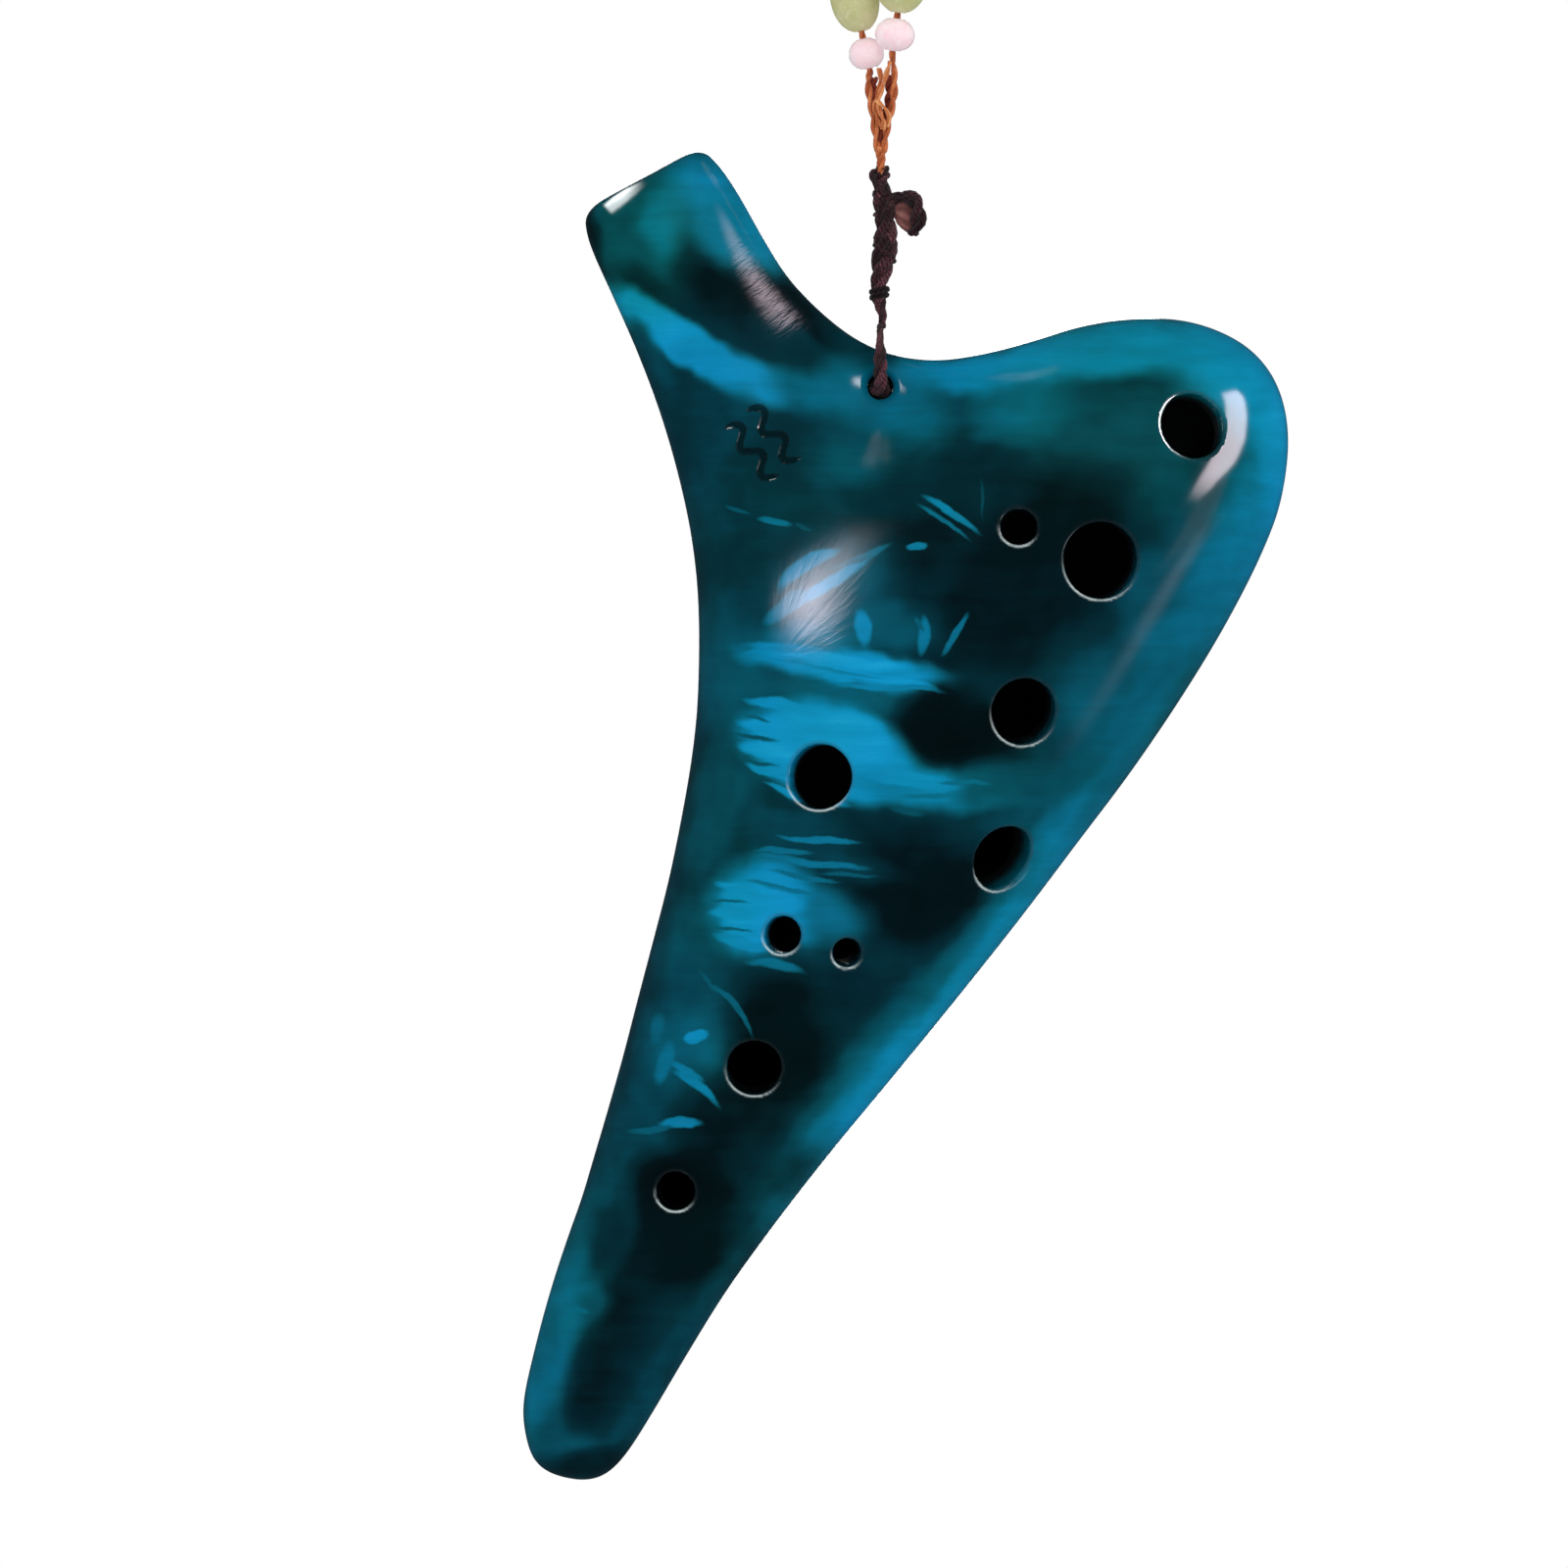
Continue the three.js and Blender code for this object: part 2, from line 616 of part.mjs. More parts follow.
const makeTiePieces = () => ({
  tie_eye: makeTieEye(),
  tie_shank: turned(SHANK_PROFILE, 12, tieAt(0, 0)),
  tie_wrap_lower: turned(WRAP_LOWER_PROFILE, 14, tieAt(0.35, 4.15)),
  tie_wrap_upper: turned(WRAP_UPPER_PROFILE, 14, tieAt(0.75, 9.65)),
  tie_knot: turned(KNOT_PROFILE, 14, tieAt(0.55, 15.45)),
  tie_bow: cord(BOW_PATH, BOW_RADIUS, 22, 8),
  tie_hitch_left: turned(HITCH_LEFT_PROFILE, 12, [-4.5, 0, 179.5]),
  tie_hitch_right: turned(HITCH_RIGHT_PROFILE, 12, [-2.3, 0, 180.0]),
});

// ---------------------------------------------------------------- strap and beads
const STRAND_RADIUS = 0.46;
const TAIL_RADIUS = 0.42;
const SPLICE_AT = [-3.4, 0, 182.3];
const SPLICE_PROFILE = [[0, -0.78], [0.5, -0.62], [0.78, 0], [0.8, 0.9], [0.55, 1.35], [0, 1.5]];

const BEAD_BORE_RADIUS = 0.85;
const BEAD_CHAMFER = 0.12; // at the mouths of the bore
const PINK_MESH = { segments: 22, steps: 8 };
const GREEN_MESH = { segments: 24, steps: 10 };
const PINK_LEFT = { at: [-5.40, 1.85, 196.49], radius: 2.43, half: 2.3, ...PINK_MESH };
const PINK_RIGHT = { at: [-1.49, -1.85, 198.99], radius: 2.75, half: 2.4, ...PINK_MESH };
const GREEN_LEFT = { at: [-7.02, 2.25, 204.32], radius: 3.4, half: 5.0, ...GREEN_MESH };
const GREEN_RIGHT = { at: [-0.47, -2.25, 206.82], radius: 3.8, half: 5.0, ...GREEN_MESH };

// Points of the strap along each bead's axis, from the bead's middle.
const PINK_STOPS = [-2.6, 0, 2.6];
const GREEN_STOPS = [-4, 0, 3, 5.4];

// The strap's free stretches: x, y, z.
const STRAP_LEFT_RISE = [
  [-3.81, 0.00, 184.01], [-4.01, 0.00, 185.36], [-4.09, 0.00, 186.84], [-4.25, 0.00, 188.59],
  [-4.79, 0.10, 190.35], [-5.13, 0.60, 191.97], [-5.02, 1.40, 193.59],
];
const STRAP_TOP_LOOP = [
  [-7.70, 2.30, 210.20], [-7.29, 1.90, 213.03], [-5.94, 1.00, 215.46],
  [-3.92, 0.00, 216.41], [-1.76, -1.20, 215.73], [-0.27, -2.20, 214.11],
];
const STRAP_RIGHT_FALL = [
  [-1.51, -1.50, 195.75], [-1.42, -0.90, 193.73], [-1.38, -0.40, 191.70], [-1.69, -0.10, 189.81],
  [-2.50, 0.00, 187.92], [-2.83, 0.00, 186.30], [-2.90, 0.00, 184.01],
];
const TAIL_FRONT_PATH = [
  [-2.83, -1.25, 188.73], [-3.51, -1.30, 189.95], [-3.44, -1.40, 191.43],
  [-2.97, -1.70, 193.05], [-2.57, -2.00, 194.40],
];
const TAIL_BACK_PATH = [
  [-3.71, 1.20, 188.73], [-3.11, 1.25, 190.35], [-3.31, 1.30, 191.97], [-3.78, 1.20, 193.32],
];

// Each strand runs straight from its pink bead to its green one.
const strandAxis = (pink, green) =>
  new THREE.Vector3(...green.at).sub(new THREE.Vector3(...pink.at)).normalize();
const LEFT_AXIS = strandAxis(PINK_LEFT, GREEN_LEFT);
const RIGHT_AXIS = strandAxis(PINK_RIGHT, GREEN_RIGHT);

function makeBead({ at, radius, half, segments, steps }, axis) {
  const top = Math.acos((BEAD_BORE_RADIUS + BEAD_CHAMFER) / radius);
  const boreEnd = half * Math.sin(top) - BEAD_CHAMFER;
  const profile = [[BEAD_BORE_RADIUS, -boreEnd]];
  for (let i = 0; i <= steps; i++) {
    const angle = mix(-top, top, i / steps);
    profile.push([radius * Math.cos(angle), half * Math.sin(angle)]);
  }
  profile.push([BEAD_BORE_RADIUS, boreEnd], profile[0]);
  return turned(profile, segments, at, axis);
}

function makeStrapCord() {
  const through = ({ at: [x, y, z] }, axis, stops) =>
    stops.map((stop) => [x + axis.x * stop, y + axis.y * stop, z + axis.z * stop]);
  const path = [
    ...STRAP_LEFT_RISE,
    ...through(PINK_LEFT, LEFT_AXIS, PINK_STOPS),
    ...through(GREEN_LEFT, LEFT_AXIS, GREEN_STOPS),
    ...STRAP_TOP_LOOP,
    ...through(GREEN_RIGHT, RIGHT_AXIS, GREEN_STOPS).reverse(),
    ...through(PINK_RIGHT, RIGHT_AXIS, PINK_STOPS).reverse(),
    ...STRAP_RIGHT_FALL,
  ];
  return cord(path, STRAND_RADIUS, 96, 7);
}

const makeStrapPieces = () => ({
  strap_splice: turned(SPLICE_PROFILE, 12, SPLICE_AT),
  strap_cord: makeStrapCord(),
  strap_tail_front: cord(TAIL_FRONT_PATH, TAIL_RADIUS, 14, 7),
  strap_tail_back: cord(TAIL_BACK_PATH, TAIL_RADIUS, 14, 7),
});

// ---------------------------------------------------------------- materials
const material = (name, color, roughness) =>
  new THREE.MeshStandardMaterial({ name, color, roughness, metalness: 0 });
const glazeMaterial = material("glazed_ceramic", 0x0b5a72, 0.16);
const tieMaterial = material("tie_cord", 0x4a2f34, 0.8);
const strapMaterial = material("strap_cord", 0xb8591f, 0.55);
const pinkMaterial = material("pink_bead", 0xf3c9d2, 0.25);
const greenMaterial = material("green_bead", 0xc2c48a, 0.25);

// ---------------------------------------------------------------- assembly
// Adds a mesh for each named geometry.
function addAll(parent, pieces, meshMaterial) {
  for (const [name, geometry] of Object.entries(pieces)) {
    const mesh = new THREE.Mesh(geometry, meshMaterial);
    mesh.name = name;
    parent.add(mesh);
  }
}

const group = new THREE.Group();
const body = makeBody();
const ceramicPieces = {
  front_shell: shell(body, -60, -PART_GAP / 2),
  back_shell: shell(body, PART_GAP / 2, 60),
  windway_floor: makeWindwayFloor(),
  labium: makeLabium(),
};
addAll(group, ceramicPieces, glazeMaterial);

const lanyard = new THREE.Group();
group.add(lanyard);
addAll(lanyard, makeTiePieces(), tieMaterial);
addAll(lanyard, makeStrapPieces(), strapMaterial);
const pinkBeads = {
  pink_bead_left: makeBead(PINK_LEFT, LEFT_AXIS),
  pink_bead_right: makeBead(PINK_RIGHT, RIGHT_AXIS),
};
addAll(lanyard, pinkBeads, pinkMaterial);
const greenBeads = {
  green_bead_left: makeBead(GREEN_LEFT, LEFT_AXIS),
  green_bead_right: makeBead(GREEN_RIGHT, RIGHT_AXIS),
};
addAll(lanyard, greenBeads, greenMaterial);

export default group;
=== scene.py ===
"""Looks of a hanging twelve-hole ceramic ocarina: marbled glaze, laid cords and beads.

X runs to the right, Z up, and -Y is the front, towards the camera.  The mouthpiece is at the
upper left, the tail at the lower left, and the cord rises from the lanyard hole on the top edge.
Lengths are millimetres, except in lights, camera, bumps and what goes to Blender as metres.
"""
import itertools
import math

import bmesh
import bpy
import numpy as np
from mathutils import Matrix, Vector


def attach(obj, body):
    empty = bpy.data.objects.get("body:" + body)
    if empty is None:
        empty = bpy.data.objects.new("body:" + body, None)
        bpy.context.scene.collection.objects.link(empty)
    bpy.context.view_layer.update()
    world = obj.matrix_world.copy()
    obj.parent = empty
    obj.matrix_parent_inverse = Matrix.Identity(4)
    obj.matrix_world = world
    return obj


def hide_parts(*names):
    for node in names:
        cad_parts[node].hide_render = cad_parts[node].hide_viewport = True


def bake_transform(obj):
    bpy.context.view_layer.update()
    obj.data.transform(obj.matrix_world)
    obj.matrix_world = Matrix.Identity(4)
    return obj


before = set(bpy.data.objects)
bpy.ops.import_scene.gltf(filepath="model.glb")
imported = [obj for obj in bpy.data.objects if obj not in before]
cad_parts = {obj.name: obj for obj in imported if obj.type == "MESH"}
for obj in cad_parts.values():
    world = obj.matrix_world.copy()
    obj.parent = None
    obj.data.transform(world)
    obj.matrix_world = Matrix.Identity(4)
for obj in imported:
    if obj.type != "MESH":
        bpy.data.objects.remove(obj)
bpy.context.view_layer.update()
MM = 0.001
TURN = 2 * math.pi
SCENE = bpy.context.scene


# ---------------------------------------------------------------- dimensions shared with the CAD
WALL = 4.5
MOUTH_TIP = np.array([-36.3, 178.2])  # x, z
MOUTH_AXIS = np.array([0.4774, -0.8787])  # x, z, into the body
MOUTH_FLAT = -0.9  # the lips are cut off here along the mouth axis
WINDWAY_LENGTH = 40.0
WINDWAY_WIDTH = 10.4
WINDWAY_IN = 2.3  # height at the lips
WINDWAY_OUT = 1.3  # height at the window
WINDWAY_SLOPE = math.radians(9.6)  # towards the back
WINDWAY_Y = 1.6
LABIUM_START = WINDWAY_LENGTH + 5.6
LABIUM_END = LABIUM_START + 7.0
BLOCK_START = 8.0
BLOCK_WIDTH = WINDWAY_WIDTH + 1.6
FLOOR_DEPTH = 3.2
GAP = 0.3
HOLE_RIM = 0.55  # rounding of the finger holes
LANYARD = np.array([-3.5, 150.5])  # x, z
LANYARD_RADIUS = 1.75
# x, z, diameter
FRONT_HOLES = [
    (39.3, 145.0, 9.0), (26.6, 126.4, 10.3), (16.1, 105.7, 9.0), (13.4, 85.6, 9.2),
    (-11.9, 96.9, 8.8), (-17.0, 75.3, 5.0), (-20.8, 57.0, 7.3), (-31.6, 40.1, 5.1),
    (15.3, 131.0, 4.9), (-8.1, 72.8, 3.8),
]
THUMB_HOLES = [(12.0, 143.0, 9.6), (-13.5, 84.5, 9.2)]
# x, z round the body, from the tail up the left side and back down the right
OUTLINE = [
    (-49.4, 1.2), (-51.2, 2.8), (-52.2, 5.7), (-52.7, 9.2), (-52.4, 12.2), (-51.7, 15.5),
    (-49.8, 23.0), (-48.2, 28.4), (-46.4, 33.8), (-44.6, 38.9), (-42.9, 44.6), (-41.3, 50.0),
    (-39.0, 58.1), (-36.9, 66.2), (-34.8, 74.2), (-32.7, 82.4), (-30.9, 91.1), (-29.6, 98.6),
    (-28.8, 105.3), (-28.5, 112.1), (-28.5, 118.8), (-28.8, 124.2), (-29.7, 131.0),
    (-31.5, 139.1), (-33.9, 147.2), (-36.9, 155.2), (-40.5, 163.4), (-42.8, 168.5),
    (-43.9, 171.7), (-44.0, 175.1), (-42.5, 177.4), (-39.4, 179.3), (-36.1, 181.0),
    (-32.9, 182.7), (-30.7, 183.7), (-29.0, 183.8), (-26.6, 182.0), (-24.7, 179.7),
    (-22.5, 176.2), (-19.7, 171.2), (-16.5, 166.1), (-13.9, 163.1), (-11.1, 160.4),
    (-7.8, 157.8), (-4.9, 156.2), (-1.6, 155.0), (1.6, 154.4), (4.9, 154.3), (8.9, 154.8),
    (13.5, 155.8), (18.4, 157.2), (23.2, 158.7), (28.4, 159.7), (33.5, 160.0), (38.6, 159.6),
    (43.2, 158.2), (47.2, 155.9), (50.2, 152.6), (52.0, 148.5), (52.7, 143.8), (52.4, 138.8),
    (51.3, 133.4), (49.4, 128.4), (46.8, 122.9), (42.7, 115.4), (37.3, 106.7), (30.8, 97.2),
    (23.8, 87.9), (15.7, 77.2), (7.0, 66.2), (-1.8, 55.4), (-10.7, 44.6), (-18.1, 35.1),
    (-24.8, 25.8), (-30.2, 17.1), (-34.7, 9.5), (-37.3, 5.3), (-39.3, 2.6), (-41.3, 0.8),
    (-43.7, 0.0), (-46.7, 0.3),
]


# ---------------------------------------------------------------- maths
def smoothstep(low, high, value):
    share = np.clip((value - low) / (high - low), 0, 1)
    return share * share * (3 - 2 * share)


def mix(start, end, share):
    return start + (end - start) * share


def unit(vector):
    return vector / np.linalg.norm(vector)


def path_lengths(points):
    """Distance along a path to each of its points."""
    return np.concatenate([[0], np.cumsum(np.linalg.norm(np.diff(points, axis=0), axis=1))])


def catmull(points, closed=True, samples=24):
    """Centripetal Catmull-Rom curve through points."""
    points = np.asarray(points, float)
    if closed:
        padded = np.concatenate([points[-1:], points, points[:2]])
    else:
        before, after = 2 * points[:1] - points[1:2], 2 * points[-1:] - points[-2:-1]
        padded = np.concatenate([before, points, after])
    share = np.arange(samples)[:, None] / samples
    curve = []
    for i in range(len(padded) - 3):
        a, b, c, d = padded[i:i + 4]
        ab, bc, cd = (max(np.linalg.norm(side), 1e-6) ** 0.5 for side in (b - a, c - b, d - c))
        slope_b = ((b - a) / ab - (c - a) / (ab + bc) + (c - b) / bc) * bc
        slope_c = ((c - b) / bc - (d - b) / (bc + cd) + (d - c) / cd) * bc
        square = -3 * b + 3 * c - 2 * slope_b - slope_c
        cube = 2 * b - 2 * c + slope_b + slope_c
        curve.append(b + slope_b * share + square * share**2 + cube * share**3)
    if not closed:
        curve.append(points[-1:])
    return np.concatenate(curve)


def resample(points, count, closed=True):
    path = np.concatenate([points, points[:1]]) if closed else points
    lengths = path_lengths(path)
    stations = np.linspace(0, lengths[-1], count, endpoint=not closed)
    return np.stack([np.interp(stations, lengths, column) for column in path.T], 1)


def blur_closed(points, sigma):
    index = np.arange(len(points))
    weights = np.exp(-0.5 * (np.minimum(index, len(points) - index) / sigma) ** 2)
    weights /= weights.sum()
    spectrum = np.fft.fft(points, axis=0) * np.fft.fft(weights)[:, None]
    return np.real(np.fft.ifft(spectrum, axis=0))


def polygon_field(polygon, x_grid, z_grid):
    """Signed fill of a polygon: the inverse of the sum over its sides of the angle subtended over
    the distance.  It falls to zero at the outline as the distance does, and is minus the distance
    outside."""
    x, z = x_grid.ravel().astype(np.float32), z_grid.ravel().astype(np.float32)
    start = polygon.astype(np.float32)
    end = np.roll(start, -1, 0)
    side = end - start
    square = (side**2).sum(1)
    length = np.sqrt(square)
    fill = np.zeros(len(x), np.float32)
    for first in range(0, len(x), 4000):
        chunk = slice(first, first + 4000)
        here_x, here_z = x[chunk, None], z[chunk, None]
        start_x, start_z = start[:, 0] - here_x, start[:, 1] - here_z
        end_x, end_z = end[:, 0] - here_x, end[:, 1] - here_z
        cross = start_x * end_z - start_z * end_x
        angle = np.arctan2(cross, start_x * end_x + start_z * end_z)
        height = np.abs(cross) / length
        # In line with a side the quotient becomes a difference of inverse distances.
        in_line = np.abs(1 / np.maximum(np.hypot(start_x, start_z), 1e-6)
                         - 1 / np.maximum(np.hypot(end_x, end_z), 1e-6))
        quotient = np.abs(angle) / np.maximum(height, 2e-3)
        total = np.where(height > 2e-3, quotient, in_line).sum(1)
        share = np.clip(-(start_x * side[:, 0] + start_z * side[:, 1]) / square, 0, 1)
        near_x, near_z = start_x + share * side[:, 0], start_z + share * side[:, 1]
        distance = np.sqrt((near_x**2 + near_z**2).min(1))
        inside = np.abs(angle.sum(1)) > math.pi
        depth = np.where(distance < 0.02, distance, math.pi / total)
        fill[chunk] = np.where(inside, depth, -distance)
    return fill.reshape(x_grid.shape)


class Field:
    """Values on an even x, z grid, read with a cubic B-spline: value and both slopes."""

    x_start, z_start, step = -60, -8, 0.8

    def __init__(self, values):
        self.values = values

    def __call__(self, x, z):
        column, row = (x - self.x_start) / self.step, (z - self.z_start) / self.step
        i = np.clip(np.floor(column).astype(int), 1, self.values.shape[0] - 3)
        k = np.clip(np.floor(row).astype(int), 1, self.values.shape[1] - 3)
        x_weights, x_slopes = self.weights(np.clip(column - i, 0, 1))
        z_weights, z_slopes = self.weights(np.clip(row - k, 0, 1))
        value = slope_x = slope_z = 0.0
        for m in range(4):
            line = line_slope = 0.0
            for n in range(4):
                sample = self.values[i + m - 1, k + n - 1]
                line = line + sample * z_weights[n]
                line_slope = line_slope + sample * z_slopes[n]
            value = value + line * x_weights[m]
            slope_x = slope_x + line * x_slopes[m]
            slope_z = slope_z + line_slope * x_weights[m]
        return value, slope_x / self.step, slope_z / self.step

    @staticmethod
    def weights(t):
        weights = ((1 - t) ** 3 / 6, (3 * t**3 - 6 * t**2 + 4) / 6,
                   (-3 * t**3 + 3 * t**2 + 3 * t + 1) / 6, t**3 / 6)
        slopes = (-((1 - t) ** 2) / 2, (9 * t**2 - 12 * t) / 6,
                  (-9 * t**2 + 6 * t + 3) / 6, t**2 / 2)
        return weights, slopes


# ---------------------------------------------------------------- the two skins of the ceramic
def along_mouth(x, z):
    return (x - MOUTH_TIP[0]) * MOUTH_AXIS[0] + (z - MOUTH_TIP[1]) * MOUTH_AXIS[1]


def fullness(x, z):
    """How far the body bulges; less at the mouth, the tail and round the lanyard hole."""
    bulge = mix(5.55, 5.95, 1 - smoothstep(60, 110, z))
    bulge = mix(bulge, 4.15, 1 - smoothstep(0, 78, z))
    bulge = mix(bulge, 3.55, 1 - smoothstep(6, 62, along_mouth(x, z)))
    from_hole = np.hypot(x - LANYARD[0], z - LANYARD[1])
    return bulge * (1 - 0.68 * np.exp(-((from_hole / 12) ** 2)))


def skin_outlines():
    """The smoothed outer outline and the cavity's outline one wall inside it."""
    outer = resample(catmull(OUTLINE), 820)
    sigma = 1.5 / np.linalg.norm(np.diff(outer, axis=0), axis=1).mean()
    soft = blur_closed(outer, sigma)
    outer = soft + (soft - blur_closed(soft, sigma))
    tangent = np.roll(outer, -1, 0) - np.roll(outer, 1, 0)
    tangent /= np.linalg.norm(tangent, axis=1)[:, None]
    inner = outer + WALL * np.stack([tangent[:, 1], -tangent[:, 0]], 1)
    clear = np.array([np.hypot(*(outer - point).T).min() for point in inner]) > WALL * 0.985
    return outer, blur_closed(resample(inner[clear], 420), 2.0)


def skin_fields():
    x, z = np.meshgrid(np.arange(Field.x_start, 60.1, Field.step),
                       np.arange(Field.z_start, 190.1, Field.step), indexing="ij")
    outer, cavity = skin_outlines()
    full = fullness(x, z)
    hollow = full * mix(0.74, 0.87, smoothstep(0, 90, z))
    return (Field(full**2 * polygon_field(outer, x, z)),
            Field(hollow**2 * polygon_field(cavity, x, z)))


OUTER_FIELD, CAVITY_FIELD = skin_fields()  # each gives the square of its skin's y

# The windway's own frame: along it, across it, and its height towards the back.
SINE, COSINE = math.sin(WINDWAY_SLOPE), math.cos(WINDWAY_SLOPE)
ALONG = np.array([MOUTH_AXIS[0] * COSINE, SINE, MOUTH_AXIS[1] * COSINE])
ACROSS = np.array([-MOUTH_AXIS[1], 0, MOUTH_AXIS[0]])
HEIGHT = np.array([-MOUTH_AXIS[0] * SINE, COSINE, -MOUTH_AXIS[1] * SINE])
LIPS = np.array([MOUTH_TIP[0], WINDWAY_Y, MOUTH_TIP[1]])


def skin_y(x, z):
    return math.sqrt(max(0.0, OUTER_FIELD(x, z)[0]))


def skin_normal(x, z, side):
    square, slope_x, slope_z = OUTER_FIELD(x, z)
    return unit(np.array([-slope_x, side * 2 * math.sqrt(max(square, 0)), -slope_z]))


# point on the skin, outward normal, radius, reach into the body
BORES = [
    (np.array([x, side * skin_y(x, z), z]), skin_normal(x, z, side), diameter / 2,
     9 if z < 45 else 12)
    for side, holes in ((-1, FRONT_HOLES), (1, THUMB_HOLES)) for x, z, diameter in holes
]


def project(x, y, z, origin, axis):
    return (x - origin[0]) * axis[0] + (y - origin[1]) * axis[1] + (z - origin[2]) * axis[2]


def round_axis(x, y, z, origin, axis):
    """Distance along an axis through origin, and distance off it."""
    rise = project(x, y, z, origin, axis)
    square = (x - origin[0]) ** 2 + (y - origin[1]) ** 2 + (z - origin[2]) ** 2
    return rise, np.sqrt(np.maximum(square - rise * rise, 0))


def round_max(first, second, radius):
    """The greater of two distances, with the crease between them rounded."""
    u, v = first + radius, second + radius
    corner = np.hypot(np.maximum(u, 0), np.maximum(v, 0))
    return corner + np.minimum(np.maximum(u, v), 0) - radius


def skin_distance(y, square, slope_x, slope_z):
    steepness = np.sqrt(slope_x * slope_x + slope_z * slope_z + 4 * y * y)
    return np.maximum(-(square - y * y) / np.maximum(steepness, 1.0), -14)


def body_distance(x, y, z, outer, cavity):
    """Signed distance, roughly, to the whole body; outer and cavity are the fields at x, z."""
    mouth = along_mouth(x, z)
    distance = round_max(skin_distance(y, *outer), MOUTH_FLAT - mouth, 1.7)
    # The cavity leaves the mouthpiece and a post round the lanyard hole solid.
    post = 7.6 - np.hypot(x - LANYARD[0], z - LANYARD[1] + 0.5)
    hollow = round_max(skin_distance(y, *cavity), 40.0 - mouth, 0.8)
    distance = round_max(distance, -round_max(hollow, post, 1.2), 0.1)

    along = project(x, y, z, LIPS, ALONG)
    across = np.abs(project(x, y, z, LIPS, ACROSS))
    height = project(x, y, z, LIPS, HEIGHT)
    half = mix(WINDWAY_IN, WINDWAY_OUT, along / WINDWAY_LENGTH) / 2
    end = along - (WINDWAY_LENGTH + 1.2)
    windway = np.maximum.reduce([across - WINDWAY_WIDTH / 2, np.abs(height) - half, end])
    distance = round_max(distance, -windway, 0.35)
    pocket = np.maximum.reduce([
        across - BLOCK_WIDTH / 2 - GAP, -half - FLOOR_DEPTH - GAP - height,
        height + half - GAP, BLOCK_START - GAP - along, end])
    distance = np.maximum(distance, -pocket)
    window = np.maximum.reduce([
        across - WINDWAY_WIDTH / 2 - GAP, WINDWAY_LENGTH - 0.1 - along,
        along - LABIUM_END - GAP, -1.6 - height])
    distance = round_max(distance, -window, 0.4)
    for point, normal, radius, reach in BORES:
        rise, off = round_axis(x, y, z, point, normal)
        distance = round_max(distance, -np.maximum(off - radius, -reach - rise), HOLE_RIM)
    from_hole = np.hypot(x - LANYARD[0], z - LANYARD[1])
    return round_max(distance, LANYARD_RADIUS - from_hole, 1.15)


def body_at(points):
    x, y, z = points.T
    return body_distance(x, y, z, OUTER_FIELD(x, z), CAVITY_FIELD(x, z))


def body_gradient(points, step=0.02):
    return np.stack([(body_at(points + offset) - body_at(points - offset)) / (2 * step)
                     for offset in step * np.eye(3)], 1)


# ---------------------------------------------------------------- the body's mesh
def surface_nets(values, origin, step):
    """Quads along the zero level of values on a grid, one vertex in each cell it crosses."""
    inside = values < 0
    corners = list(itertools.product((0, 1), repeat=3))
    shape = tuple(n - 1 for n in values.shape)
    total = np.zeros(shape, np.uint8)
    for corner in corners:
        total += inside[tuple(slice(c, c + n) for c, n in zip(corner, shape))]
    crossed = (total > 0) & (total < 8)
    cells = np.argwhere(crossed)
    index = -np.ones(shape, np.int64)
    index[crossed] = np.arange(len(cells))
    places, count = np.zeros((len(cells), 3)), np.zeros(len(cells))
    for corner, axis in itertools.product(corners, range(3)):
        if corner[axis]:
            continue
        other = list(corner)
        other[axis] = 1
        near, far = values[tuple((cells + corner).T)], values[tuple((cells + other).T)]
        hit = (near < 0) != (far < 0)
        place = np.array(corner, float)[None].repeat(len(cells), 0)
        place[:, axis] += np.where(hit, near / np.where(hit, near - far, 1), 0)
        places += place * hit[:, None]
        count += hit
    quads = []
    for axis in range(3):
        low = [slice(1, n - 1) for n in values.shape]
        low[axis] = slice(0, values.shape[axis] - 1)
        high = list(low)
        high[axis] = slice(1, values.shape[axis])
        near, far = inside[tuple(low)], inside[tuple(high)]
        base = [1, 1, 1]
        base[axis] = 0
        side_u, side_v = np.eye(3, dtype=int)[[(axis + 1) % 3, (axis + 2) % 3]]
        for leaving in (True, False):
            at = np.argwhere((near == leaving) & (far == (not leaving))) + base
            ring = (at, at - side_u, at - side_u - side_v, at - side_v)
            quad = [index[tuple(cell.T)] for cell in ring]
            quads.append(np.stack(quad if leaving else quad[::-1], 1))
    return origin + step * (cells + places / count[:, None]), np.concatenate(quads)


def refine_body(mesh):
    """Finer faces at the rims, the window and the lips."""
    points = np.array([vertex.co for vertex in mesh.verts])
    x, y, z = points.T
    fine = np.hypot(x - LANYARD[0], z - LANYARD[1]) < 4.2
    for point, normal, radius, _ in BORES:
        rise, off = round_axis(x, y, z, point, normal)
        fine |= (np.abs(off - radius - 0.2) < 1.1) & (rise > -2.2) & (rise < 3)
    along = project(x, y, z, LIPS, ALONG)
    across = np.abs(project(x, y, z, LIPS, ACROSS))
    near_skin = skin_distance(y, *OUTER_FIELD(x, z)) > -4
    fine |= (along > 38.5) & (along < 54) & (across < 7) & near_skin & (y > 5)
    fine |= (along < 3.2) & (across < 8)
    edges = [e for e in mesh.edges if fine[e.verts[0].index] and fine[e.verts[1].index]]
    bmesh.ops.subdivide_edges(mesh, edges=edges, cuts=1, use_grid_fill=True)


